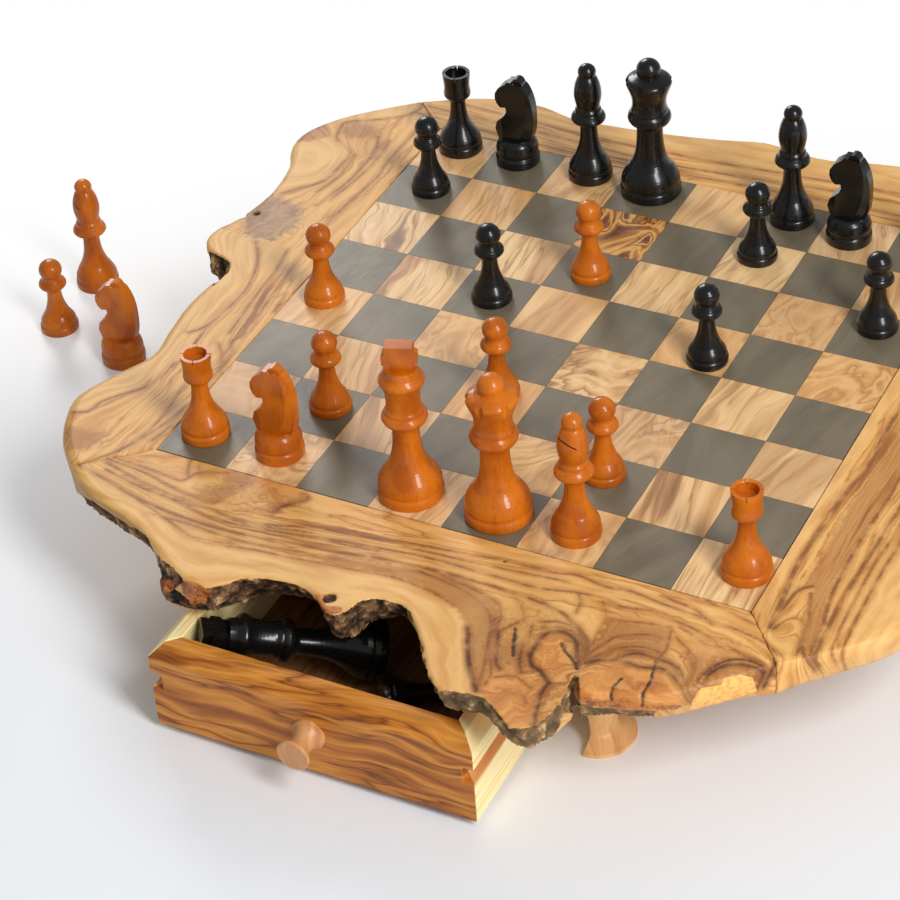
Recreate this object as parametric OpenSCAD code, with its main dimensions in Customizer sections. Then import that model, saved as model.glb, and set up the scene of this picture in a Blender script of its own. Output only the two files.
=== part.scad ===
// Chess board with two drawers under it, in live-edge olive wood, with its full set of turned men.
// Millimetres. The origin is the centre of the playing surface, +X to the right and +Y to the back
// as the player at the open drawer sees it, +Z up. The table is at z = -board_h.

/* [Board] */
// Side of one square
square = 40; // [36:1:48]
// Width of the joint line between two squares
joint = 0.2; // [0.1:0.05:0.5]
// Thickness of the squares
square_t = 6; // [3:0.5:9]
// Thickness of the rails, and of the squares with the panel under them
rail_t = 20; // [16:1:28]
// Height of the playing surface above the table
board_h = 80; // [72:1:110]

/* [Drawer case] */
// Thickness of the side walls
wall_t = 13; // [9:0.5:18]
// Thickness of the divider between the two drawers
divider_t = 16; // [8:1:24]
// How far the case reaches past the field at the front and at the back
case_reach = 16; // [8:1:24]
// How far the case sits to the left of the field's centre
case_shift = 20; // [0:1:30]
// Height of the case and the drawers above the table
table_gap = 4; // [2:0.5:8]
// Space over the drawers
headroom = 6; // [2:0.5:10]

/* [Drawers] */
// Outer width of a drawer
drawer_w = 173; // [140:1:200]
// Thickness of the front and the sides
side_t = 13; // [11:0.5:16]
// Thickness of the back
back_t = 10; // [6:0.5:14]
// Thickness of the bottom
bottom_t = 4; // [3:0.5:5]
// Depth to which the bottom is let into the front and the sides
rebate = 6; // [3:0.5:7]
// Width of the bevel round the top edge
bevel = 6.5; // [3:0.5:9]
// Height of the side groove above the drawer's underside
groove_z = 24; // [12:1:28]
// Height of the side groove
groove_h = 9; // [6:0.5:12]
// Depth of the side groove
groove_d = 6; // [4:0.5:7]
// Space behind a closed drawer
behind = 8; // [4:1:16]
// Space between a drawer and each wall
wall_gap = 0.5; // [0.3:0.1:1]
// Play of the runner in its groove, above and below
runner_play = 0.25; // [0.2:0.05:0.5]
// Distance by which the front drawer stands open
drawer_open = 90; // [20:1:120]

/* [Knob] */
// Diameter of the two flanges
knob_d = 17; // [13:0.5:22]
// Diameter of the waist
knob_waist = 11; // [8:0.5:12]
// Length in front of the drawer
knob_l = 17; // [12:0.5:24]
// Diameter of the tenon
tenon_d = 8; // [5:0.5:8]
// Length of the tenon
tenon_l = 9; // [6:0.5:9.5]
// Glue gap round the tenon
glue_gap = 0.1; // [0.05:0.05:0.2]

/* [Feet] */
// Radius of a foot's lip
foot_r = 18.7; // [14:0.1:22]
// Radius of a foot's waist
foot_waist = 9.4; // [7:0.1:12]
// Space between the case and the flat side of a foot
foot_gap = 12; // [2:1:20]

/* [Men] */
// Height of the king with its cross
king_h = 90; // [80:1:94]
// Diameter of the king's base
king_d = 33; // [28:0.5:34]
// Height of the queen
queen_h = 84; // [74:1:90]
// Diameter of the queen's base
queen_d = 34; // [28:0.5:35]
// Height of a bishop
bishop_h = 72; // [66:1:80]
// Diameter of a bishop's base
bishop_d = 25; // [22:0.5:28]
// Height of a knight
knight_h = 55; // [50:1:60]
// Diameter of a knight's base
knight_d = 25; // [23:0.5:28]
// Thickness of a knight's neck
knight_t = 11; // [9:0.5:13]
// Height of a rook
rook_h = 50; // [46:1:56]
// Diameter of a rook's base
rook_d = 25; // [23:0.5:28]
// Height of a pawn
pawn_h = 47; // [43:1:52]
// Diameter of a pawn's base
pawn_d = 22; // [19:0.5:24]
// Space between a lying man and what it lies on
lying_gap = 0.3; // [0.2:0.1:0.6]

/* [Hidden] */

// Colours
olive_colour = "#c98f4e";
light_colour = "#dcb683";
dark_colour = "#6b6757";
pine_colour = "#ecd9a8";
inside_colour = "#7a5636";
brown_colour = "#b9581d";
black_colour = "#17171a";

// Steps round a turned part
round_steps = 64;

// The board
squares_a_side = 8;
field = squares_a_side * square;
half = field / 2;
panel_t = rail_t - square_t;
table_z = -board_h;

// The drawer case
case_half = half + case_reach;
case_h = board_h - rail_t - table_gap;
case_z = table_z + table_gap;
bay_w = drawer_w + 2 * wall_gap;
runner_w = wall_gap + groove_d - 0.5;
runner_h = groove_h - 2 * runner_play;
runner_inset = 2;

// The drawers
drawer_h = case_h - headroom;
drawer_l = case_half - divider_t / 2 - behind;
inside_w = drawer_w - 2 * side_t;
knob_z = drawer_h / 2;
front_y = -case_half - drawer_open;
floor_z = case_z + bottom_t;

// The live edge: [x, y, undercut at the underside, radius of the top edge], drawn round a field
// of 320 mm, anticlockwise from the front left corner
drawn_half = 160;
front_left_corner = [-193, -188, 0, 4];
front_right_corner = [184, -189, 0, 4];
back_right_corner = [205, 203, 0, 4];
back_left_corner = [-186, 185, 0, 4];
front_edge = [
    front_left_corner, [-179, -199, 3, 4], [-158, -208, 5, 3], [-139, -215, 6, 3],
    [-125, -224, 3, 3], [-112, -234, -5, 3], [-98, -240, -3, 3], [-85, -242, 4, 3],
    [-76, -235, 10, 2], [-65, -228, 13, 2], [-45, -224, 12, 2], [-33, -227, 8, 2],
    [-26, -235, 6, 2], [-19, -237, 5, 2], [-12, -233, 7, 2], [-9, -224, 10, 2],
    [0, -219, 12, 2], [9, -219, 12, 2], [19, -226, 10, 2], [29, -239, 8, 2],
    [39, -253, 8, 2], [50, -263, 9, 2], [60, -263, 9, 2], [71, -262, 9, 2],
    [84, -271, 10, 2], [94, -274, 10, 2], [102, -268, 9, 2], [105.5, -257, 8, 2],
    [107, -246, 6, 2], [109.5, -240, 4, 2], [115, -239, 5, 3], [124, -235, 5, 4],
    [140, -230, 5, 5], [153, -221, 5, 5], [165, -208, 4, 4], [175, -198, 3, 4],
    front_right_corner
];
// The split that runs into the front edge
front_split = [[102, -225], [104.5, -239], [105.5, -252], [110.5, -243], [106.5, -234]];
right_edge = [
    front_right_corner, [194, -181, 3, 4], [209, -167, 4, 5], [222, -153, 4, 5],
    [232, -137, 4, 5], [240, -112, 5, 5], [239, -80, 5, 5], [231, -48, 6, 5],
    [229, -15, 5, 5], [236, 20, 4, 5], [246, 52, 3, 5], [247, 84, 4, 5],
    [240, 118, 5, 5], [235, 150, 5, 5], [226, 181, 3, 4], back_right_corner
];
back_edge = [
    back_right_corner, [184, 212, 3, 4], [160, 211, 5, 4], [132, 216, 6, 4],
    [97, 220, 5, 4], [60, 212, 5, 4], [40, 213, 4, 4], [19, 216, 4, 4],
    [-6, 210, 5, 4], [-41, 204, 6, 4], [-78, 201, 5, 4], [-96, 201, 4, 4],
    [-114, 206, 3, 4], [-136, 207, 3, 5], [-160, 200, 3, 5], back_left_corner
];
left_edge = [
    back_left_corner, [-205, 170, 3, 5], [-222, 153, 3, 5], [-234, 134, 3, 6],
    [-235, 116, 4, 6], [-226, 97, 5, 5], [-222, 68, 5, 5], [-226, 38, 3, 4],
    [-231, 24, 0, 2], [-231, 12, 0, 2], [-223, 3, 3, 2], [-211, -2, 4, 2],
    [-208, -10, 5, 4], [-211, -42, 5, 5], [-208, -70, 5, 5], [-206, -90, 5, 6],
    [-216, -112, 4, 6], [-224, -134, 4, 6], [-221, -151, 4, 6], [-209, -172, 3, 5],
    front_left_corner
];
// Steps between two points of the live edge
edge_steps = 3;
// How each layer of the edge stands: [z over the rail's thickness, share of the top edge's
// radius above it, share of that radius inwards, share of the undercut]
edge_layers = [
    [0, 0, 1, 0], [0, 0.3, 0.3, 0], [0, 1, 0, 0], [-0.5, 0, 0, 0.25], [-0.82, 0, 0, 0.75],
    [-1, 0, 0.3, 1]
];

// Feet: [side of the case, distance past the front or back of the field]
foot_reach = 25;
left_foot_reach = -10;
back_foot_reach = 5;
foot_lip = 2;

// Men on the board, in squares from the front left corner of the field
brown_king_at = [3.37, 0.45];
brown_queen_at = [4.54, 0.49];
brown_bishop_at = [5.56, 0.51];
brown_knight_at = [1.49, 0.53];
brown_rooks_at = [[0.42, 0.52], [7.70, 0.62]];
brown_pawns_at = [[1.64, 1.59], [0.43, 3.67], [5.42, 1.64], [3.52, 5.46], [3.51, 2.64]];
black_queen_at = [3.46, 7.64];
black_bishops_at = [[2.52, 7.68], [5.53, 7.67]];
black_knights_at = [[1.4, 7.67], [6.41, 7.52]];
black_rooks_at = [[0.5, 7.66], [7.62, 7.55]];
black_pawns_at = [[0.58, 6.55], [2.52, 4.49], [5.43, 6.66], [5.69, 4.28], [7.46, 5.73]];

// Men on the table, to the left of the field's left edge and behind the board's centre
taken_pawn_at = [-173, 1];
taken_bishop_at = [-176, 48];
taken_knight_at = [-122, -11];

// Men lying in a drawer: [from its centre line, from the inside of its front, heading of the head]
king_corner = [5.4, 7];
king_heading = 216.5;
king_tilt = 19;
front_pawns_lie = [[14, 31, 38], [32, 12.5, 180], [60, 120, 200]];
back_pawns_lie = [[-25, 98, 20], [48, 122, 175]];

// Turned outlines: [radius, height] in a man of the radius and height after "drawn"
king_drawn = [16.5, 90];
king_shape = [
    [16, 0], [16.5, 1.2], [16.5, 4.2], [15.9, 5.6], [15.7, 6.6], [16, 8], [15.6, 10.5],
    [14.3, 13.2], [12.7, 15.6], [11.7, 17], [11.2, 17.8], [10, 20], [8.7, 23.5], [7.7, 27.5],
    [7, 32], [6.7, 37], [6.7, 41.8], [7.6, 43.4], [10, 45], [11.4, 47.6], [10.6, 49.8],
    [9.5, 50.8], [9.5, 51.8], [9.1, 52.8], [8.6, 53.8], [8.5, 56], [8.6, 60], [9, 63.5],
    [10, 66.5], [11, 68.4], [11.3, 70], [10.3, 71.8], [9.1, 73], [8.6, 74.5], [8.2, 77]
];
// The king's cross from the front: [half its width, height]
cross = [[6.8, 76.5], [6.8, 79], [8.5, 80], [8.5, 84.6], [6.3, 86], [7, 87.2], [6.7, 90]];
cross_t = 7.5;
queen_drawn = [17, 84];
queen_shape = [
    [16.5, 0], [17, 1.2], [17, 4.4], [16.4, 5.8], [16.2, 6.8], [16.4, 8.3], [15.9, 11],
    [14.6, 14], [13, 16.4], [12, 17.6], [11.4, 18.4], [10.1, 20.8], [8.8, 24.4], [8, 28.5],
    [7.5, 33], [7.3, 38], [7.3, 42.6], [8.4, 44.1], [10.9, 45.8], [12, 48.3], [11.4, 50.6],
    [10.3, 51.9], [10.2, 53.1], [9.8, 54.2], [9.4, 56], [9.4, 59], [9.9, 62], [11.1, 65.5],
    [12.4, 69], [12.7, 70.6], [12.2, 71.8], [10.6, 72.9], [8.4, 73.7], [6.4, 74.6]
];
bishop_drawn = [12.4, 72];
bishop_shape = [
    [12, 0], [12.4, 1], [12.4, 4], [11.8, 5.2], [11.6, 6], [11.9, 7.2], [11.4, 9],
    [10.4, 11.2], [9.4, 13.2], [8.7, 14.4], [8.2, 15.2], [7.3, 17.4], [6.2, 20.6], [5.3, 24.5],
    [4.9, 29], [4.8, 33.6], [5.6, 35.2], [8.2, 36.5], [9.6, 38.2], [9, 40.3], [7.6, 41.6],
    [7.2, 42.8], [7.2, 44], [6.5, 45.2], [6.4, 46.4], [7, 49], [7.6, 52.6], [7.5, 56],
    [6.8, 60], [5.6, 63.3], [4.6, 65]
];
rook_drawn = [12.4, 50];
rook_shape = [
    [12, 0], [12.4, 0.9], [12.4, 4], [11.8, 5.2], [11.6, 6], [11.8, 7.2], [11.3, 9.2],
    [10.2, 11.4], [9, 13.3], [8.4, 14.2], [7.4, 16], [6.1, 19], [5.1, 22.5], [4.5, 26.5],
    [4.3, 30], [4.4, 33], [5.5, 34.2], [7, 35.4], [7.5, 37], [7.3, 39.2], [7.1, 40.8],
    [7.2, 44], [7.6, 47.5], [7.7, 50]
];
rook_cup = [[5.9, 50], [5.6, 49.6], [5.6, 45.4], [0, 45.4]];
pawn_drawn = [10.9, 47];
pawn_shape = [
    [10.5, 0], [10.9, 0.8], [10.9, 3.4], [10.3, 4.4], [10, 5.2], [10.1, 6.2], [9.6, 7.8],
    [8.6, 9.6], [7.9, 10.7], [7.4, 11.5], [6.6, 13.4], [5.5, 16.4], [4.6, 20], [4.2, 23.5],
    [4.1, 27], [4.9, 28.2], [6.8, 29.3], [7.9, 31], [7.4, 33], [6.1, 34.1], [5.7, 35],
    [5.4, 35.6]
];
// The pawn's widest points, on which it lies
pawn_rim = pawn_shape[2];
pawn_collar = pawn_shape[17];
// The knight's foot: shares of the base's radius and of the foot's own height
knight_foot_h = 16;
knight_foot_shape = [
    [0.97, 0], [1, 0.06], [1, 0.3], [0.94, 0.37], [0.92, 0.42], [0.96, 0.52], [0.95, 0.68],
    [0.88, 0.85], [0.77, 0.95], [0.66, 1]
];
// The knight's neck and head from the side, for a knight 55 high: the mane is a smooth curve and
// the face is cut with flats
drawn_knight_h = 55;
mane = [
    [-8.3, 14.5], [-10.5, 18.5], [-11.7, 24], [-12, 32], [-11.5, 39], [-9.7, 45.5], [-6.7, 50],
    [-3.5, 52.3]
];
face = [
    [-0.2, 51.8], [0.4, 52.6], [3.1, 52.4], [3.9, 50.8], [5.9, 49.5], [8.4, 47.5], [10.4, 44],
    [10.6, 40.5], [9.4, 38], [6.9, 36], [3.9, 36.5], [3.4, 34], [4.9, 31], [9.9, 26],
    [11.4, 21], [9.4, 16], [8.6, 14.5]
];
ear = [[-0.2, 49], [-0.2, 53], [-1, 54.6], [-2.6, 55], [-4.6, 54.4], [-5.8, 52.5], [-6, 49]];
ear_t = 5.2;
// Share of the neck's thickness over the height, and towards the nose
knight_taper = [[14, 1], [32, 0.94], [42, 0.84], [56, 0.62]];
knight_plan = [[-14, 1], [6, 1], [12, 0.66]];
// The bevel along the mane: the centre it is turned about, the radii between which it runs and
// the share of the thickness that is left at the mane
mane_centre = [24.9, 34.3];
mane_bevel = [33.2, 37];
mane_share = 0.5;

// Catmull-Rom curve through the points p, with n steps between two of them
function between(a, b, c, d, t) =
    0.5 * (2 * b + (c - a) * t + (2 * a - 5 * b + 4 * c - d) * t * t
    + (3 * b - a - 3 * c + d) * t * t * t);
function before(p, i) = i == 0 ? 2 * p[0] - p[1] : p[i - 1];
function after(p, i) = i + 2 < len(p) ? p[i + 2] : 2 * p[i + 1] - p[i];
function smooth(p, n) = concat(
    [for (i = [0 : len(p) - 2], k = [0 : n - 1]) between(before(p, i), p[i], p[i + 1], after(p, i), k / n)],
    [p[len(p) - 1]]
);
function arc(centre, r, from, to, n) =
    [for (i = [0 : n]) let (a = from + (to - from) * i / n) centre + r * [cos(a), sin(a)]];
function scaled(shape, r, h) = [for (p = shape) [p.x * r, p.y * h]];
function unit(v) = v / norm(v);

module solid_of_revolution(outline) {
    rotate_extrude($fn = round_steps) polygon(outline);
}

// ---- Board ----

module base_panel() color(olive_colour)
    translate([-half, -half, -rail_t]) cube([field, field, panel_t]);

module squares(parity) {
    last = squares_a_side - 1;
    for (i = [0 : last], j = [0 : last])
        if ((i + j) % 2 == parity)
            translate([i * square - half + joint / 2, j * square - half + joint / 2, -square_t])
                cube([square - joint, square - joint, square_t]);
}

module light_squares() color(light_colour) squares(1);

module dark_squares() color(dark_colour) squares(0);

// A point of the live edge, moved out with the corner of a field that is larger than drawn
function grown(p) = let (g = half - drawn_half)
    [p.x + g * max(-1, min(1, p.x / drawn_half)), p.y + g * max(-1, min(1, p.y / drawn_half)), p[2], p[3]];
function flat(p) = [p.x, p.y];
function inwards(line, i) =
    let (n = len(line) - 1, d = unit(flat(line[min(n, i + 1)]) - flat(line[max(0, i - 1)]))) [-d.y, d.x];

// The rail between two corners of the field, lofted from one mitre to the other: each section
// starts on the field's side, runs out to the live edge, over its rim and back on the underside
module rail(corner_a, corner_b, edge) {
    line = smooth([for (p = edge) grown(p)], edge_steps);
    last = len(line) - 1;
    ring = len(edge_layers) + 2;
    span = flat(line[last]) - flat(line[0]);
    function field_point(i) =
        let (share = (flat(line[i]) - flat(line[0])) * span / (span * span))
        corner_a + (corner_b - corner_a) * max(0, min(1, share));
    function edge_point(i, layer) =
        let (p = line[i], rim = p[3] * layer[2], cut = p[2] * layer[3])
        i == 0 ? flat(p) + unit(corner_a - flat(p)) * (rim + cut)
        : i == last ? flat(p) + unit(corner_b - flat(p)) * (rim + cut)
        : flat(p) + inwards(line, i) * rim - unit(flat(p)) * cut;
    function layer_z(i, layer) = layer[0] * rail_t - layer[1] * line[i][3];
    function section(i) = let (q = field_point(i)) concat(
        [[q.x, q.y, 0]],
        [for (layer = edge_layers) let (p = edge_point(i, layer)) [p.x, p.y, layer_z(i, layer)]],
        [[q.x, q.y, -rail_t]]
    );
    mitres = [[for (k = [0 : ring - 1]) k], [for (k = [ring - 1 : -1 : 0]) last * ring + k]];
    skin = [
        for (i = [0 : last - 1], k = [0 : ring - 1])
            let (m = (k + 1) % ring, a = i * ring, b = a + ring)
            each [[a + k, b + k, a + m], [a + m, b + k, b + m]]
    ];
    polyhedron([for (i = [0 : last]) each section(i)], concat(mitres, skin));
}

module front_rail() color(olive_colour) difference() {
    rail([-half, -half], [half, -half], front_edge);
    translate([0, 0, -rail_t - 1]) linear_extrude(rail_t + 2)
        polygon([for (p = front_split) flat(grown([p.x, p.y, 0, 0]))]);
}

module right_rail() color(olive_colour) rail([half, -half], [half, half], right_edge);

module back_rail() color(olive_colour) rail([half, half], [-half, half], back_edge);

module left_rail() color(olive_colour) rail([-half, half], [-half, -half], left_edge);

// ---- Drawer case ----

module case_wall() translate([0, -case_half, case_z]) cube([wall_t, 2 * case_half, case_h]);

module case_left_wall() color(olive_colour)
    translate([-case_shift - bay_w / 2 - wall_t, 0, 0]) case_wall();

module case_right_wall() color(olive_colour)
    translate([-case_shift + bay_w / 2, 0, 0]) case_wall();

module case_divider() color(olive_colour)
    translate([-case_shift - bay_w / 2, -divider_t / 2, case_z]) cube([bay_w, divider_t, case_h]);

// One strip for each drawer, from just inside the mouth of the case to the divider
module runners() {
    strip_l = case_half - divider_t / 2 - runner_inset;
    for (end = [-1, 1])
        translate([0, end > 0 ? divider_t / 2 : -divider_t / 2 - strip_l, case_z + groove_z + runner_play])
            cube([runner_w, strip_l, runner_h]);
}

module left_runners() color(pine_colour)
    translate([-case_shift - bay_w / 2, 0, 0]) runners();

module right_runners() color(pine_colour)
    translate([-case_shift + bay_w / 2 - runner_w, 0, 0]) runners();

// ---- Feet ----

// Half of a turned spool, split through its axis, with the round side facing +X
module foot() {
    h = board_h - rail_t;
    hollow = smooth([
        [foot_r, foot_lip], [foot_r * 0.8, foot_lip * 1.5], [foot_waist * 1.12, foot_lip * 2.6],
        [foot_waist, h * 0.14], [foot_waist * 1.15, h * 0.29], [foot_waist * 1.42, h * 0.41],
        [foot_r * 0.9, h * 0.52], [foot_r, h * 0.58]
    ], 3);
    translate([0, 0, table_z]) rotate([0, 0, -90])
        rotate_extrude(angle = 180, $fn = round_steps)
            polygon(concat([[0, 0], [foot_r, 0]], hollow, [[foot_r, h], [0, h]]));
}

// side is 1 to the right of the case and -1 to its left
module placed_foot(side, y)
    translate([-case_shift + side * (bay_w / 2 + wall_t + foot_gap), y, 0])
        rotate([0, 0, side > 0 ? 0 : 180]) foot();

module front_right_foot() color(olive_colour) placed_foot(1, -half - foot_reach);

module front_left_foot() color(olive_colour) placed_foot(-1, -half - left_foot_reach);

module back_right_foot() color(olive_colour) placed_foot(1, half + back_foot_reach);

module back_left_foot() color(olive_colour) placed_foot(-1, half + back_foot_reach);

// ---- Drawers: x across, y from the front to the back, z up from the underside ----

module front_drawer_place() translate([-case_shift - drawer_w / 2, front_y, case_z]) children();

module back_drawer_place()
    translate([-case_shift + drawer_w / 2, case_half, case_z]) rotate([0, 0, 180]) children();

// Section of the front and the sides: bevelled at the top, rebated for the bottom
section = [
    [0, 0], [0, drawer_h - bevel], [bevel, drawer_h], [side_t, drawer_h], [side_t, bottom_t],
    [side_t - rebate, bottom_t], [side_t - rebate, 0]
];

// What is taken out of both sides and the ends of the front for the runners
module groove() translate([-1, -1, groove_z]) cube([groove_d + 1, drawer_l + 2, groove_h]);

module drawer_front() {
    bore_r = tenon_d / 2 + glue_gap;
    difference() {
        intersection() {
            rotate([90, 0, 90]) linear_extrude(drawer_w) polygon(section);
            linear_extrude(drawer_h)
                polygon([[0, 0], [drawer_w, 0], [drawer_w - side_t, side_t], [side_t, side_t]]);
        }
        groove();
        translate([drawer_w, 0, 0]) mirror([1, 0, 0]) groove();
        translate([drawer_w / 2, tenon_l + glue_gap, knob_z]) rotate([90, 0, 0])
            cylinder(r = bore_r, h = tenon_l + 1, $fn = round_steps);
    }
}

module drawer_side() {
    difference() {
        intersection() {
            translate([0, drawer_l, 0]) rotate([90, 0, 0]) linear_extrude(drawer_l) polygon(section);
            linear_extrude(drawer_h)
                polygon([[0, 0], [side_t, side_t], [side_t, drawer_l], [0, drawer_l]]);
        }
        groove();
    }
}

module drawer_back() translate([side_t, drawer_l - back_t, bottom_t])
    cube([inside_w, back_t, drawer_h - bottom_t - bevel]);

module drawer_bottom() translate([side_t - rebate, side_t - rebate, 0])
    cube([inside_w + 2 * rebate, drawer_l - side_t + rebate, bottom_t]);

// A spool: two flanges with a waist between them, and the tenon behind
module drawer_knob() {
    r = knob_d / 2;
    waist = knob_waist / 2;
    lip = 1.6;
    hollow = smooth([
        [r, lip], [r * 0.86, lip * 1.7], [waist * 1.05, knob_l * 0.36], [waist, knob_l * 0.5],
        [waist * 1.05, knob_l * 0.64], [r * 0.86, knob_l - lip * 1.7], [r, knob_l - lip]
    ], 3);
    translate([drawer_w / 2, 0, knob_z]) rotate([90, 0, 0])
        solid_of_revolution(concat(
            [[0, -tenon_l], [tenon_d / 2, -tenon_l], [tenon_d / 2, 0], [r, 0]], hollow,
            [[r, knob_l - 0.5], [r - 0.5, knob_l], [0, knob_l]]
        ));
}

module front_drawer_front() color(olive_colour) front_drawer_place() drawer_front();

module front_drawer_left_side() color(pine_colour) front_drawer_place() drawer_side();

module front_drawer_right_side() color(pine_colour)
    front_drawer_place() translate([drawer_w, 0, 0]) mirror([1, 0, 0]) drawer_side();

module front_drawer_back() color(pine_colour) front_drawer_place() drawer_back();

module front_drawer_bottom() color(inside_colour) front_drawer_place() drawer_bottom();

module front_drawer_knob() color(olive_colour) front_drawer_place() drawer_knob();

module back_drawer_front() color(olive_colour) back_drawer_place() drawer_front();

module back_drawer_left_side() color(pine_colour)
    back_drawer_place() translate([drawer_w, 0, 0]) mirror([1, 0, 0]) drawer_side();

module back_drawer_right_side() color(pine_colour) back_drawer_place() drawer_side();

module back_drawer_back() color(pine_colour) back_drawer_place() drawer_back();

module back_drawer_bottom() color(inside_colour) back_drawer_place() drawer_bottom();

module back_drawer_knob() color(olive_colour) back_drawer_place() drawer_knob();

// ---- Men: each stands on z = 0, with its axis on z ----

// A turned man from its outline, drawn for the radius and height in drawn
module turned(outline, drawn, d, h)
    solid_of_revolution(concat([[0, 0]], scaled(outline, d / 2 / drawn.x, h / drawn.y)));

// The round head of a man: its radius, half its height, the height of its centre and the radius
// of the neck that it stands on
function head(r, rise, z, neck) = let (from = -acos(neck / r))
    [for (i = [0 : 12]) let (a = from + (90 - from) * i / 12) [r * cos(a), z + rise * sin(a)]];

module king() {
    outline = concat(smooth(king_shape, 2), [[0, 77]]);
    turned(outline, king_drawn, king_d, king_h);
    scale([king_d / 2 / king_drawn.x, king_d / 2 / king_drawn.x, king_h / king_drawn.y])
        translate([0, cross_t / 2, 0]) rotate([90, 0, 0]) linear_extrude(cross_t)
            polygon(concat(cross, [for (i = [len(cross) - 1 : -1 : 0]) [-cross[i].x, cross[i].y]]));
}

// Six gouges run up the crown to its lip
module queen() {
    gouges = 6;
    gouge_d = queen_d * 0.135;
    gouge_at = [queen_d * 0.39, queen_h * 0.74];
    difference() {
        turned(concat(smooth(queen_shape, 2), head(6.7, 6.2, 77.8, 6.4)), queen_drawn, queen_d, queen_h);
        for (i = [0 : gouges - 1]) rotate([0, 0, 27 + i * 360 / gouges])
            translate([gouge_at.x, 0, gouge_at.y])
                cylinder(d = gouge_d, h = queen_h * 0.14, $fn = 24);
    }
}

module bishop() {
    slot_w = 0.8;
    difference() {
        turned(
            concat(smooth(bishop_shape, 2), head(5, 4.5, 67.5, 4.6)), bishop_drawn, bishop_d, bishop_h
        );
        translate([bishop_d * 0.08, 0, bishop_h * 0.78]) rotate([0, -38, 0])
            translate([0, -bishop_d / 2, -slot_w / 2]) cube([bishop_d, bishop_d, slot_w]);
    }
}

// A cup at the top, with four fine saw cuts in its rim
module rook() {
    saw_w = 0.6;
    saw_depth = 2;
    difference() {
        turned(concat(smooth(rook_shape, 2), rook_cup), rook_drawn, rook_d, rook_h);
        for (turn = [20, 110, 200, 290]) rotate([0, 0, turn])
            translate([rook_d * 0.15, -saw_w / 2, rook_h - saw_depth])
                cube([rook_d, saw_w, 2 * saw_depth]);
    }
}

module pawn()
    turned(concat(smooth(pawn_shape, 2), head(6.6, 6.2, 40.8, 5.4)), pawn_drawn, pawn_d, pawn_h);

// Both sides of a taper: its points at +share and, in reverse, at -share of the half thickness
function two_sided(taper) = concat(
    [for (p = taper) [p.x, p.y * knight_t / 2]],
    [for (i = [len(taper) - 1 : -1 : 0]) [taper[i].x, -taper[i].y * knight_t / 2]]
);

// A disc of the neck's thickness, bevelled on both sides to a thinner flange
module mane_disc() {
    t = knight_t / 2;
    flange = mane_centre.x + knight_d;
    profile = [[mane_bevel[0], t], [mane_bevel[1], t * mane_share], [flange, t * mane_share]];
    translate([mane_centre.x, 0, mane_centre.y]) rotate([90, 0, 0])
        solid_of_revolution(concat(
            [[0, -t], [mane_bevel[0], -t], [mane_bevel[1], -t * mane_share], [flange, -t * mane_share]],
            [for (i = [2 : -1 : 0]) profile[i]], [[0, t]]
        ));
}

// Looking along +X: a foot, and a neck and head where the side, front and plan outlines and the
// bevel of the mane meet
module knight() {
    reach = 2 * knight_h;
    solid_of_revolution(concat(
        [[0, 0]], smooth(scaled(knight_foot_shape, knight_d / 2, knight_foot_h), 2), [[0, knight_foot_h]]
    ));
    scale(knight_h / drawn_knight_h) {
        intersection() {
            translate([0, knight_t, 0]) rotate([90, 0, 0]) linear_extrude(2 * knight_t)
                polygon(concat(smooth(mane, 2), face));
            rotate([0, -90, 0]) translate([0, 0, -reach / 2]) linear_extrude(reach)
                polygon(two_sided(knight_taper));
            linear_extrude(reach) polygon(two_sided(knight_plan));
            mane_disc();
        }
        translate([0, ear_t / 2, 0]) rotate([90, 0, 0]) linear_extrude(ear_t) polygon(ear);
    }
}

// Places for the men
module on_square(at) translate([at.x * square - half, at.y * square - half, 0]) children();

module on_table(at) translate([at.x - half, at.y, table_z]) children();

// A pawn lying on the rim of its base and on its collar
module lying_pawn(heading) {
    points = scaled([pawn_rim, pawn_collar], pawn_d / 2 / pawn_drawn.x, pawn_h / pawn_drawn.y);
    rim = points[0];
    collar = points[1];
    droop = atan((rim.x - collar.x) / (collar.y - rim.y));
    rotate([0, 0, heading]) translate([0, 0, rim.x * cos(droop) + rim.y * sin(droop) + lying_gap])
        rotate([0, 90 + droop, 0]) pawn();
}

module in_front_drawer(at) translate([-case_shift + at.x, front_y + side_t + at.y, floor_z])
    children();

module in_back_drawer(at) translate([-case_shift + at.x, case_half - side_t - at.y, floor_z])
    children();

// ---- Brown men ----

module brown_king() color(brown_colour) on_square(brown_king_at) rotate([0, 0, 20]) king();

module brown_queen() color(brown_colour) on_square(brown_queen_at) queen();

module brown_bishop_1() color(brown_colour) on_square(brown_bishop_at) rotate([0, 0, 236]) bishop();

module brown_bishop_2() color(brown_colour) on_table(taken_bishop_at) rotate([0, 0, 200]) bishop();

module brown_knight_1() color(brown_colour) on_square(brown_knight_at) rotate([0, 0, 180]) knight();

module brown_knight_2() color(brown_colour) on_table(taken_knight_at) rotate([0, 0, 185]) knight();

module brown_rook(i) color(brown_colour) on_square(brown_rooks_at[i]) rook();

module brown_pawn(i) color(brown_colour) on_square(brown_pawns_at[i]) pawn();

module brown_pawn_on_table() color(brown_colour) on_table(taken_pawn_at) pawn();

module brown_pawn_in_drawer(i) color(brown_colour)
    in_back_drawer(back_pawns_lie[i]) lying_pawn(back_pawns_lie[i][2]);

// ---- Black men ----

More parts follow.
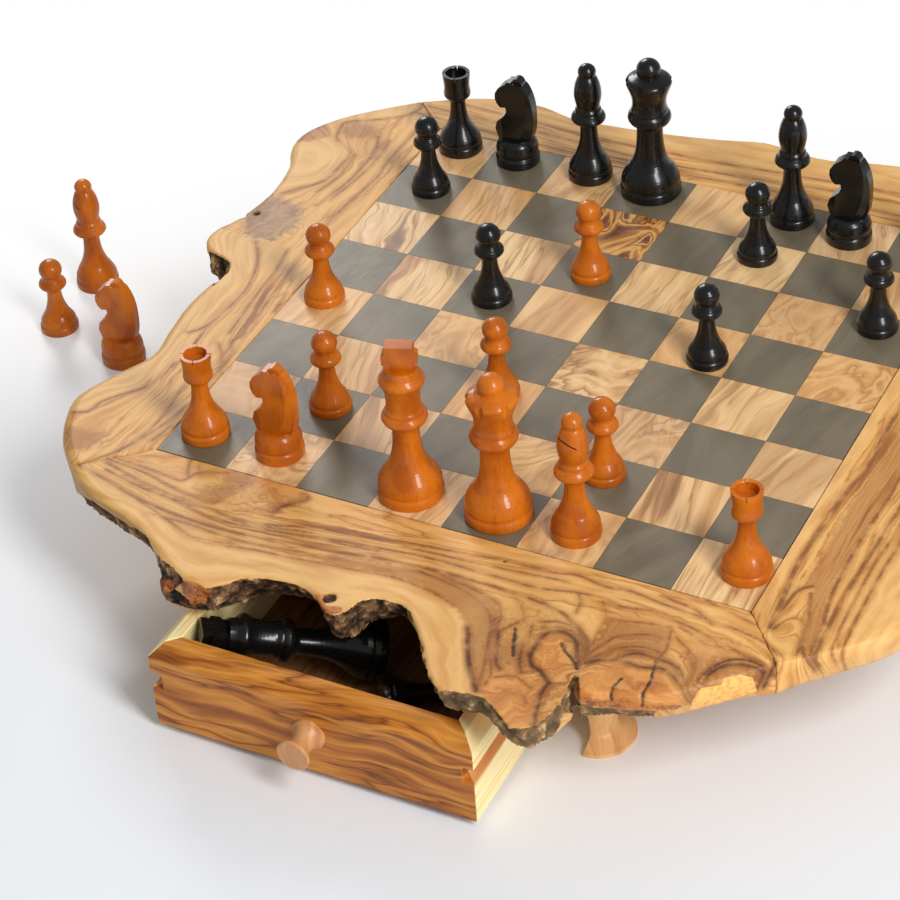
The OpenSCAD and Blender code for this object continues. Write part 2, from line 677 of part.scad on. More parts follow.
// The king lies on the rim of its base, with its head up in the front left corner of the drawer
module black_king() color(black_colour) {
    rim = scaled([king_shape[1]], king_d / 2 / king_drawn.x, king_h / king_drawn.y)[0];
    translate([
        -case_shift - inside_w / 2 + king_corner.x, front_y + side_t + king_corner.y,
        floor_z + lying_gap + rim.x * cos(king_tilt) + (king_h - rim.y) * sin(king_tilt)
    ]) rotate([0, 0, king_heading]) rotate([0, 90 - king_tilt, 0]) translate([0, 0, -king_h])
        rotate([0, 0, 90]) king();
}

module black_queen() color(black_colour) on_square(black_queen_at) queen();

module black_bishop(i) color(black_colour) on_square(black_bishops_at[i]) rotate([0, 0, 120]) bishop();

module black_knight(i) color(black_colour) on_square(black_knights_at[i]) rotate([0, 0, 180]) knight();

module black_rook(i) color(black_colour) on_square(black_rooks_at[i]) rook();

module black_pawn(i) color(black_colour) on_square(black_pawns_at[i]) pawn();

module black_pawn_in_drawer(i) color(black_colour)
    in_front_drawer(front_pawns_lie[i]) lying_pawn(front_pawns_lie[i][2]);

base_panel();
light_squares();
dark_squares();
front_rail();
right_rail();
back_rail();
left_rail();
case_left_wall();
case_right_wall();
case_divider();
left_runners();
right_runners();
front_right_foot();
front_left_foot();
back_right_foot();
back_left_foot();
front_drawer_front();
front_drawer_left_side();
front_drawer_right_side();
front_drawer_back();
front_drawer_bottom();
front_drawer_knob();
back_drawer_front();
back_drawer_left_side();
back_drawer_right_side();
back_drawer_back();
back_drawer_bottom();
back_drawer_knob();
brown_king();
brown_queen();
brown_bishop_1();
brown_bishop_2();
brown_knight_1();
brown_knight_2();
brown_rook(0);  // brown_rook_1
brown_rook(1);  // brown_rook_2
brown_pawn(0);  // brown_pawn_1
brown_pawn(1);  // brown_pawn_2
brown_pawn(2);  // brown_pawn_3
brown_pawn(3);  // brown_pawn_4
brown_pawn(4);  // brown_pawn_5
brown_pawn_on_table();  // brown_pawn_6
brown_pawn_in_drawer(0);  // brown_pawn_7
brown_pawn_in_drawer(1);  // brown_pawn_8
black_king();
black_queen();
black_bishop(0);  // black_bishop_1
black_bishop(1);  // black_bishop_2
black_knight(0);  // black_knight_1
black_knight(1);  // black_knight_2
black_rook(0);  // black_rook_1
black_rook(1);  // black_rook_2
black_pawn(0);  // black_pawn_1
black_pawn(1);  // black_pawn_2
black_pawn(2);  // black_pawn_3
black_pawn(3);  // black_pawn_4
black_pawn(4);  // black_pawn_5
black_pawn_in_drawer(0);  // black_pawn_6
black_pawn_in_drawer(1);  // black_pawn_7
black_pawn_in_drawer(2);  // black_pawn_8
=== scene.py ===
"""A chess box in live-edge olive wood: the looks of its board, case, drawers and men.

Lengths are metres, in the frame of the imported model: the origin is the centre of the playing
surface, X runs right, Y back and Z up. Tables of places on the board are in millimetres.
"""

import math

import bmesh
import bpy
import numpy as np
from mathutils import Matrix, Vector, noise


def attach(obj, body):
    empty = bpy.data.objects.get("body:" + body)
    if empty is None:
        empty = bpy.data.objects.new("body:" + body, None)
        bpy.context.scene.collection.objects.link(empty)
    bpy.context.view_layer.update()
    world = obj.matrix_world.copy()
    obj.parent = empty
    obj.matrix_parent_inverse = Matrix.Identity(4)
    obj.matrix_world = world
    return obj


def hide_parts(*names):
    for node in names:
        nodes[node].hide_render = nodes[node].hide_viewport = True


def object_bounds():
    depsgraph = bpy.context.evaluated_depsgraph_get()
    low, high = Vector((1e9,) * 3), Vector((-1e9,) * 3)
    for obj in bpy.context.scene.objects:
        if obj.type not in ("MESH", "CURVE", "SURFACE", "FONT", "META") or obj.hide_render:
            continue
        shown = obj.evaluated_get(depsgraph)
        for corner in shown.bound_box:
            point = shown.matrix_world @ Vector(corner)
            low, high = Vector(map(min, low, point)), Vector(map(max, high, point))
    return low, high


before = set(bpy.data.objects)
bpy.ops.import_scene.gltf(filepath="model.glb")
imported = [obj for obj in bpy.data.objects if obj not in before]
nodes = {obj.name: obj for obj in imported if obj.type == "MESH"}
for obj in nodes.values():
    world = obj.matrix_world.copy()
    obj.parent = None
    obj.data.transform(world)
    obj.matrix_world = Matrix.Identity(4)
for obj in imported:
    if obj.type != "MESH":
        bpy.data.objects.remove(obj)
cad_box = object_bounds()

MM = 0.001
# Side of a square of the board, in millimetres
SQUARE = 40
# Height of the table under the feet
TABLE_Z = cad_box[0][2]


# ---- Camera ----

CAMERA_AT = Vector((0.533892, -1.103992, 0.903036))
CAMERA_AZIMUTH = math.radians(29.1114)
CAMERA_ELEVATION = math.radians(38.3057)
CAMERA_ROLL = math.radians(-4.4108)
CAMERA_LENS = 117.127
CAMERA_SENSOR = 36.0


def make_camera():
    """The camera at the photograph's viewpoint, with its slight roll."""
    a, e, r = CAMERA_AZIMUTH, CAMERA_ELEVATION, CAMERA_ROLL
    back = Vector((math.sin(a) * math.cos(e), -math.cos(a) * math.cos(e), math.sin(e)))
    right = Vector((math.cos(a), math.sin(a), 0))
    up = back.cross(right)
    rolled_right = math.cos(r) * right + math.sin(r) * up
    rolled_up = -math.sin(r) * right + math.cos(r) * up
    data = bpy.data.cameras.new("camera")
    data.lens = CAMERA_LENS
    data.sensor_width = CAMERA_SENSOR
    data.clip_start = 0.05
    data.clip_end = 60
    camera = bpy.data.objects.new("camera", data)
    turn = Matrix((rolled_right, rolled_up, back)).transposed()
    camera.matrix_world = Matrix.Translation(CAMERA_AT) @ turn.to_4x4()
    bpy.context.scene.collection.objects.link(camera)
    bpy.context.scene.camera = camera


# ---- Shader nodes ----

def colour(r, g, b):
    """A display colour, each part 0 to 255, as linear light."""
    def linear(v):
        v /= 255
        return v / 12.92 if v <= 0.04045 else ((v + 0.055) / 1.055) ** 2.4
    return linear(r), linear(g), linear(b), 1.0


class Shader:
    """A material whose nodes are added by calls. Each call gives back an output."""

    def __init__(self, name):
        self.material = bpy.data.materials.new(name)
        self.material.use_nodes = True
        self.tree = self.material.node_tree
        self.surface = self.tree.nodes["Principled BSDF"]
        self.output = self.tree.nodes["Material Output"]

    def put(self, socket, value):
        """Links an output to an input, or sets it to a number or a display colour (r, g, b)."""
        if isinstance(value, bpy.types.NodeSocket):
            self.tree.links.new(value, socket)
        else:
            socket.default_value = colour(*value) if isinstance(value, tuple) else value

    def set(self, **values):
        """Inputs of the Principled shader, by name with _ for a space."""
        for name, value in values.items():
            self.put(self.surface.inputs[name.replace("_", " ")], value)

    def node(self, kind, **settings):
        made = self.tree.nodes.new(kind)
        for name, value in settings.items():
            setattr(made, name, value)
        return made

    def math(self, operation, *values):
        made = self.node("ShaderNodeMath", operation=operation)
        for socket, value in zip(made.inputs, values):
            self.put(socket, value)
        return made.outputs[0]

    def add(self, a, b):
        return self.math("ADD", a, b)

    def times(self, a, b):
        return self.math("MULTIPLY", a, b)

    def spread(self, value, low, high, to_low=0.0, to_high=1.0, smooth=True):
        """value from low..high to to_low..to_high, held at both ends."""
        made = self.node("ShaderNodeMapRange")
        made.interpolation_type = "SMOOTHSTEP" if smooth else "LINEAR"
        for socket, given in zip(made.inputs, (value, low, high, to_low, to_high)):
            self.put(socket, given)
        return made.outputs[0]

    def mix(self, share, a, b):
        """Colour a with a share of colour b. Inputs 6 and 7 and output 2 are the node's colours."""
        made = self.node("ShaderNodeMix", data_type="RGBA")
        for number, value in zip((0, 6, 7), (share, a, b)):
            self.put(made.inputs[number], value)
        return made.outputs[2]

    def vector(self, x, y, z):
        made = self.node("ShaderNodeCombineXYZ")
        for socket, value in zip(made.inputs, (x, y, z)):
            self.put(socket, value)
        return made.outputs[0]

    def parts(self, vector):
        made = self.node("ShaderNodeSeparateXYZ")
        self.put(made.inputs[0], vector)
        return made.outputs[0], made.outputs[1], made.outputs[2]

    def noise(self, vector, scale=1.0, detail=2.0, roughness=0.5, distortion=0.0):
        """Noise round 0.5 over a vector."""
        made = self.node("ShaderNodeTexNoise", noise_dimensions="3D")
        names = ("Vector", "Scale", "Detail", "Roughness", "Distortion")
        for name, value in zip(names, (vector, scale, detail, roughness, distortion)):
            self.put(made.inputs[name], value)
        return made.outputs["Fac"]

    def grain(self, places, lengths, *seed, detail):
        """Noise over places in mm, drawn out to a length in mm along each, and over a seed."""
        drawn = [self.times(place, 1 / length) for place, length in zip(places, lengths)]
        return self.noise(self.vector(*drawn, *seed), detail=detail)

    def random(self, vector):
        """A random number, and a random vector, for each value of a vector."""
        made = self.node("ShaderNodeTexWhiteNoise", noise_dimensions="3D")
        self.put(made.inputs["Vector"], vector)
        return made.outputs["Value"], made.outputs["Color"]

    def place(self):
        """The point on the piece at rest, in millimetres."""
        made = self.node("ShaderNodeTexCoord")
        scaled = self.node("ShaderNodeVectorMath", operation="SCALE")
        self.put(scaled.inputs[0], made.outputs["Object"])
        self.put(scaled.inputs["Scale"], 1000.0)
        return scaled.outputs[0]

    def attribute(self, name):
        made = self.node("ShaderNodeAttribute", attribute_name=name)
        return made.outputs["Fac"]

    def bump(self, height, strength, distance):
        """The normal of a relief. distance is how high it stands, in metres."""
        made = self.node("ShaderNodeBump")
        for name, value in (("Height", height), ("Strength", strength), ("Distance", distance)):
            self.put(made.inputs[name], value)
        return made.outputs[0]

    def ramp(self, value, stops):
        """The colour along value, between stops of (place, display colour)."""
        stops = [(place, colour(*shade)) for place, shade in stops]
        made = self.node("ShaderNodeValToRGB")
        line = made.color_ramp.elements
        line[1].position, line[1].color = stops[-1]
        line[0].position, line[0].color = stops[0]
        for place, shade in stops[1:-1]:
            line.new(place).color = shade
        self.put(made.inputs[0], value)
        return made.outputs["Color"]


# ---- Wood ----

OLIVE = ((238, 186, 112), (226, 168, 94), (212, 150, 78), (182, 122, 60), (140, 88, 42))


def figured(s, ring, along, seed, tones, width=10.0, line_gap=2.4, lines=0.7):
    """Colour and height of figured wood.

    ring is the distance across the year rings and along the distance with them, both in mm;
    seed is a number that keeps two boards apart. tones are five display colours, from the palest early
    wood to the darkest line, width is how broad the bands are, line_gap how close the thin dark
    lines lie and lines how strong they are.
    """
    pale, honey, tan, brown, line = tones
    bands = s.grain((ring, along), (width, 10 * width), seed, detail=4)
    shade = s.ramp(bands, [
        (0.27, brown), (0.34, tan), (0.40, honey), (0.455, pale), (0.50, honey), (0.525, tan),
        (0.535, brown), (0.548, honey), (0.59, pale), (0.63, tan), (0.66, brown), (0.70, line)])
    rings = s.grain((ring, along), (line_gap, 90), s.add(seed, 3.1), detail=2)
    held = s.grain((ring, along), (16, 50), s.add(seed, 1.9), detail=1)
    thin = s.times(s.spread(rings, 0.545, 0.585), s.spread(rings, 0.60, 0.61, 1.0, 0.25))
    thin = s.times(thin, s.times(s.spread(held, 0.35, 0.62), lines))
    shade = s.mix(thin, shade, brown)
    fibre = s.grain((ring, along), (0.45, 24), s.add(seed, 9.1), detail=3)
    shade = s.mix(s.spread(fibre, 0.50, 0.78, 0.0, 0.3), shade, brown)
    shade = s.mix(s.spread(fibre, 0.46, 0.28, 0.0, 0.2), shade, pale)
    return shade, s.add(s.times(fibre, 0.7), s.times(thin, -0.5))


def satin(s, shade, height, roughness=0.38):
    """A thin oiled finish: a satin sheen that the pores break up."""
    s.set(Base_Color=shade, Roughness=s.spread(height, 0.0, 0.7, roughness + 0.08, roughness - 0.05))
    s.set(Normal=s.bump(height, 0.12, 0.0002), Specular_IOR_Level=0.4)
    return s.material


def olive_board(name, seed=0.0, tones=OLIVE):
    """A plain board: the rings cross X and drift along Y."""
    s = Shader(name)
    x, y, z = s.parts(s.place())
    drift = s.grain((x, y, z), (60, 130, 45), detail=2)
    ring = s.add(s.add(x, s.times(z, 0.8)), s.times(s.add(drift, -0.5), 30))
    shade, height = figured(s, ring, y, seed, tones)
    return satin(s, shade, height)


# ---- Squares ----

SQUARE_TONES = (
    (246, 208, 152), (230, 186, 126), (206, 158, 100), (156, 106, 62), (98, 62, 36))
# Squares are counted in columns and rows from the board's centre
BOLD_SQUARE = (-1, 2)
CURLY_SQUARES = [(2, 1), (0, -1), (3, 0)]


def square_cell(s):
    """The place on the board, the square that it is in, and a random number and vector for that."""
    x, y, _ = s.parts(s.place())
    cell = [s.math("FLOOR", s.times(place, 1 / SQUARE)) for place in (x, y)]
    value, three = s.random(s.vector(*cell, 0.0))
    return x, y, cell, value, three


def in_square(s, cell, square):
    """1 in one square of the board and 0 in the others."""
    return s.times(*[s.math("COMPARE", here, there, 0.1) for here, there in zip(cell, square)])


def curls(s, x, y, seed, width, tones):
    """Curly wood, as near a knot: tones are the dark line, brown, amber and pale wood."""
    dark, brown, amber, pale = tones
    swirl = s.noise(
        s.vector(s.times(x, 1 / width), s.times(y, 0.55 / width), seed),
        detail=3, roughness=0.45, distortion=1.5)
    return s.ramp(swirl, [
        (0.31, dark), (0.36, brown), (0.42, amber), (0.47, pale), (0.515, amber), (0.545, brown),
        (0.56, dark), (0.575, amber), (0.61, pale), (0.66, brown), (0.70, dark)])


def light_square_wood():
    """Olive squares, each cut from its own place in the log. Some are curly, and one is bold."""
    s = Shader("light_square_wood")
    x, y, cell, value, three = square_cell(s)
    slant, shift, wild = s.parts(three)
    far = s.times(shift, 900)
    seed = s.times(value, 90)
    curl = s.noise(
        s.vector(s.add(s.times(x, 1 / 17), far), s.times(y, 1 / 40), seed), detail=2)
    swing = s.spread(wild, 0.3, 1.0, 5.0, 30.0)
    ring = s.add(s.add(x, s.times(y, s.spread(slant, 0, 1, -0.3, 0.3, smooth=False))), far)
    ring = s.add(ring, s.times(s.add(curl, -0.5), swing))
    shade, height = figured(s, ring, y, seed, SQUARE_TONES, width=17.0, line_gap=3.4, lines=0.8)
    calm = s.spread(value, 0.25, 0.9, 0.3, 0.0)
    shade = s.mix(calm, shade, (242, 204, 152))
    broad = s.grain((ring, y), (26, 160), s.add(seed, 4.4), detail=1)
    shade = s.mix(s.spread(broad, 0.52, 0.62, 0, 0.5), shade, (176, 122, 76))
    curly = s.spread(wild, 0.70, 0.80, 0.0, 0.6)
    for square in CURLY_SQUARES:
        curly = s.math("MAXIMUM", curly, s.times(in_square(s, cell, square), 0.85))
    knotty = curls(s, s.add(x, far), y, seed, 30.0, (
        (140, 92, 52), (186, 134, 84), (216, 164, 102), (238, 198, 142)))
    shade = s.mix(curly, shade, knotty)
    shade = s.mix(s.spread(shift, 0.2, 0.9, 0.0, 0.4), shade, (226, 164, 94))
    shade = s.mix(s.spread(slant, 0.6, 1.0, 0.0, 0.3), shade, (206, 166, 128))
    gold = curls(s, x, y, 7.3, 20.0, (
        (82, 42, 18), (140, 80, 34), (192, 124, 52), (232, 178, 100)))
    shade = s.mix(s.times(in_square(s, cell, BOLD_SQUARE), 0.95), shade, gold)
    return satin(s, shade, height)


def dark_square_wood():
    """Squares dyed grey-olive, whose grain shows only faintly."""
    s = Shader("dark_square_wood")
    x, y, _, value, three = square_cell(s)
    slant, shift, _ = s.parts(three)
    ring = s.add(s.add(x, s.times(y, s.spread(slant, 0, 1, -0.4, 0.4, smooth=False))), s.times(shift, 500))
    seed = s.times(value, 50)
    cloud = s.grain((ring, y), (16, 50), seed, detail=3)
    streak = s.grain((ring, y), (2.6, 60), seed, detail=3)
    fibre = s.grain((ring, y), (0.4, 9), seed, detail=2)
    shade = s.mix(s.spread(cloud, 0.32, 0.68), (108, 97, 77), (126, 114, 92))
    shade = s.mix(s.spread(value, 0.2, 1.0, 0.0, 0.35), shade, (112, 105, 90))
    shade = s.mix(s.spread(streak, 0.56, 0.74, 0, 0.2), shade, (88, 77, 59))
    shade = s.mix(s.spread(fibre, 0.58, 0.76, 0, 0.35), shade, (76, 67, 52))
    s.set(Base_Color=shade, Roughness=s.spread(fibre, 0.3, 0.7, 0.34, 0.44))
    s.set(Normal=s.bump(fibre, 0.08, 0.0002), Specular_IOR_Level=0.4)
    return s.material


# ---- Materials of the other CAD nodes ----

def lacquer(name, deep, mid, bright, roughness, specular, coat, relief):
    """Stained and lacquered turned wood: the stain is uneven and follows the grain."""
    s = Shader(name)
    x, y, z = s.parts(s.place())
    cloud = s.grain((x, y, z), (15, 15, 22), detail=3)
    streak = s.grain((x, y, z), (1.1, 1.1, 18), detail=3)
    skin = s.noise(s.place(), 0.9, detail=3)
    shade = s.mix(s.spread(cloud, 0.34, 0.66), mid, bright)
    shade = s.mix(s.spread(streak, 0.55, 0.78, 0, 0.5), shade, deep)
    shade = s.mix(s.spread(cloud, 0.46, 0.34, 0, 0.15), shade, deep)
    s.set(Base_Color=shade, Roughness=s.spread(skin, 0.3, 0.7, roughness, roughness + 0.08))
    s.set(Specular_IOR_Level=specular, Coat_Weight=coat, Coat_Roughness=0.1)
    s.set(Normal=s.bump(s.add(skin, s.times(streak, 0.3)), relief, 0.0005))
    return s.material


def pine_wood(name, tint=None):
    """Pale drawer timber with straight, quiet grain along its length."""
    s = Shader(name)
    x, y, z = s.parts(s.place())
    drift = s.grain((x, y, z), (60, 110, 40), detail=2)
    ring = s.add(s.add(s.times(z, 1.2), x), s.times(s.add(drift, -0.5), 16))
    band = s.grain((ring, y), (3.4, 150), 3.0, detail=2)
    fibre = s.grain((ring, y), (0.5, 18), 8.0, detail=2)
    shade = s.ramp(band, [
        (0.30, (244, 210, 136)), (0.40, (253, 232, 168)), (0.50, (255, 242, 188)),
        (0.58, (253, 230, 162)), (0.63, (238, 190, 112)), (0.67, (251, 226, 158))])
    shade = s.mix(s.spread(fibre, 0.55, 0.75, 0, 0.2), shade, (224, 184, 124))
    # A tint is mixed over the pine; the grooves' tint is painted shade
    if tint:
        shade = s.mix(0.7, shade, tint)
    s.set(Base_Color=shade, Roughness=0.5, Normal=s.bump(fibre, 0.1, 0.0002))
    return s.material


FRONT_TONES = ((222, 148, 58), (194, 118, 38), (164, 90, 24), (118, 62, 18), (84, 42, 14))


def drawer_front_wood():
    """Strongly figured olive: the lines run across the drawer's front."""
    s = Shader("drawer_front_wood")
    x, y, z = s.parts(s.place())
    drift = s.grain((x, z, y), (70, 40, 90), detail=2)
    ring = s.add(s.add(z, s.times(x, -0.05)), s.times(s.add(drift, -0.5), 26))
    shade, height = figured(
        s, s.add(ring, s.times(y, 0.5)), x, 4.0, FRONT_TONES, width=18.0, line_gap=3.6, lines=0.4)
    return satin(s, shade, height, roughness=0.42)


TURNED_TONES = (
    (244, 196, 140), (226, 168, 108), (204, 140, 82), (160, 100, 54), (110, 64, 34))
# Knobs lie nearer than this to the board's middle line, in millimetres, and feet further out
KNOB_REACH = 60.0


def turned_olive():
    """The feet and, redder, the drawers' knobs."""
    s = Shader("turned_olive")
    x, y, z = s.parts(s.place())
    drift = s.grain((x, y, z), (30, 30, 30), detail=2)
    ring = s.add(s.add(x, s.times(y, 0.5)), s.times(s.add(drift, -0.5), 22))
    shade, height = figured(s, ring, s.add(z, s.times(y, 0.3)), 2.0, TURNED_TONES, width=14.0, lines=0.3)
    shade = s.mix(0.5, shade, (238, 190, 134))
    middle = s.math("LESS_THAN", s.math("ABSOLUTE", x), KNOB_REACH)
    knob = s.times(middle, s.spread(z, -78, -68, 0.0, 0.45))
    return satin(s, s.mix(knob, shade, (176, 98, 48)), height)


CASE_TONES = ((226, 176, 118), (204, 150, 92), (178, 120, 66), (128, 80, 42), (90, 52, 28))
INSIDE_TONES = ((156, 112, 72), (140, 98, 62), (124, 86, 54), (106, 72, 45), (90, 60, 38))

MATERIALS = {
    "light_square_wood": light_square_wood(),
    "dark_square_wood": dark_square_wood(),
    "olive_wood": olive_board("olive_wood"),
    "panel_wood": olive_board("panel_wood", seed=11.0, tones=CASE_TONES),
    "case_wood": olive_board("case_wood", seed=23.0, tones=CASE_TONES),
    "drawer_front_wood": drawer_front_wood(),
    "pine": pine_wood("pine"),
    "drawer_bottom_wood": olive_board("drawer_bottom_wood", seed=31.0, tones=INSIDE_TONES),
    "turned_olive": turned_olive(),
    "brown_lacquer": lacquer(
        "brown_lacquer", (128, 54, 2), (180, 88, 6), (208, 112, 14),
        roughness=0.36, specular=0.2, coat=0.42, relief=0.1),
    "black_lacquer": lacquer(
        "black_lacquer", (14, 14, 14), (14, 14, 14), (16, 16, 16),
        roughness=0.24, specular=0.3, coat=0.4, relief=0.015),
}
# The runner grooves in the drawers' sides: the darker orange mixed into the pine there is painted shade
GROOVE_SHADE_WOOD = pine_wood("pine_groove_shade", (222, 142, 72))
# The record's material slot of each CAD node
SLOTS = {name: node.material_slots[0].name.split(".")[0] for name, node in nodes.items()}


def dress_cad_nodes():
    """Gives the slot of each CAD node its material."""
    for name, node in nodes.items():
        node.material_slots[0].material = MATERIALS[SLOTS[name]]


# ---- Rails ----

# The rails' voxels, in metres, small enough to hold carved bark
VOXEL = 0.0011

# Figure of the rails, in millimetres. Each point is where the line of sight through a place on the
# rail crosses the level of the playing surface.
# Year rings: (level in mm, points that the ring runs through)
FRONT_RINGS = [
    (0, [(-200, -150), (-120, -150), (0, -148), (120, -148), (190, -150)]),
    (10, [(-176, -174), (-142, -177), (-110, -176), (-60, -172), (0, -168), (60, -164), (110, -163)]),
    (20, [(-178, -179), (-153, -185), (-129, -189), (-105, -190), (-78, -188), (-40, -182), (2, -176),
          (40, -171), (64, -170), (92, -170), (127, -172), (156, -174), (182, -183)]),
    (32, [(-175, -184), (-152, -189), (-118, -194), (-96, -197), (-69, -194), (-27, -187), (3, -183),
          (50, -183), (81, -179), (111, -178), (140, -182), (171, -190)]),
    (44, [(-190, -185), (-169, -192), (-142, -199), (-111, -202), (-78, -201), (-34, -195), (3, -190),
          (31, -190), (62, -192), (83, -195), (96, -204)]),
    (54, [(-151, -197), (-133, -204), (-111, -212), (-88, -212), (-56, -208), (-25, -205), (5, -203),
          (24, -206), (37, -214), (47, -226), (53, -238), (65, -257)]),
    (72, [(-182, -206), (-140, -220), (-98, -242), (-60, -228), (-20, -240), (5, -224), (25, -240),
          (50, -270)]),
    (40, [(103, -222), (107, -205), (124, -193), (145, -198), (152, -218)]),
    (50, [(104, -222), (118, -204), (134, -203), (148, -213), (157, -224)]),
    (60, [(104, -222), (120, -214), (138, -212), (154, -224), (160, -228)]),
    (70, [(106, -228), (125, -226), (150, -228)]),
]
LEFT_RINGS = [
    (0, [(-155, -200), (-155, -60), (-155, 60), (-155, 200)]),
    (14, [(-174, -159), (-168, -120), (-166, -80), (-168, -50), (-173, 10), (-172, 100), (-172, 160)]),
    (26, [(-182, -172), (-175, -120), (-176, -70), (-177, -40), (-181, 0), (-184, 20), (-185, 72),
          (-181, 120), (-184, 150)]),
    (38, [(-196, -178), (-186, -120), (-188, -94), (-190, -60), (-186, -24), (-190, -6), (-204, 20),
          (-194, 70), (-192, 100), (-196, 125), (-200, 150)]),
    (56, [(-216, -150), (-207, -137), (-193, -118), (-196, -68), (-200, -20), (-222, 20), (-214, 67),
          (-197, 88), (-197, 118), (-214, 140)]),
    (78, [(-226, -150), (-224, -120), (-212, -90), (-213, -40), (-216, -5), (-235, 15), (-226, 60),
          (-238, 120)]),
]
RIGHT_RINGS = [
    (0, [(155, -200), (155, 0), (155, 200)]),
    (16, [(171, -167), (168, -117), (173, -42), (172, 0), (174, 60), (172, 170)]),
    (30, [(174, -168), (177, -160), (182, -157), (182, -60), (184, 60), (182, 170)]),
    (30, [(182, -157), (186, -162), (190, -180)]),
    (46, [(208, -188), (196, -177), (190, -133), (189, -100), (191, -40), (196, 60), (190, 180)]),
    (60, [(211, -180), (203, -167), (202, -83), (206, 0), (210, 80), (202, 180)]),
    (90, [(240, -150), (240, -60), (246, 80), (235, 170)]),
]
BACK_RINGS = [
    (0, [(-200, 155), (0, 154), (200, 155)]),
    (12, [(-170, 166), (-90, 164), (0, 165), (80, 169), (170, 166)]),
    (26, [(-180, 180), (-110, 178), (-30, 172), (30, 177), (100, 182), (185, 178)]),
    (44, [(-175, 192), (-100, 190), (-30, 188), (30, 192), (90, 198), (190, 196)]),
    (62, [(-170, 208), (-90, 208), (-10, 214), (60, 218), (140, 222), (205, 214)]),
]

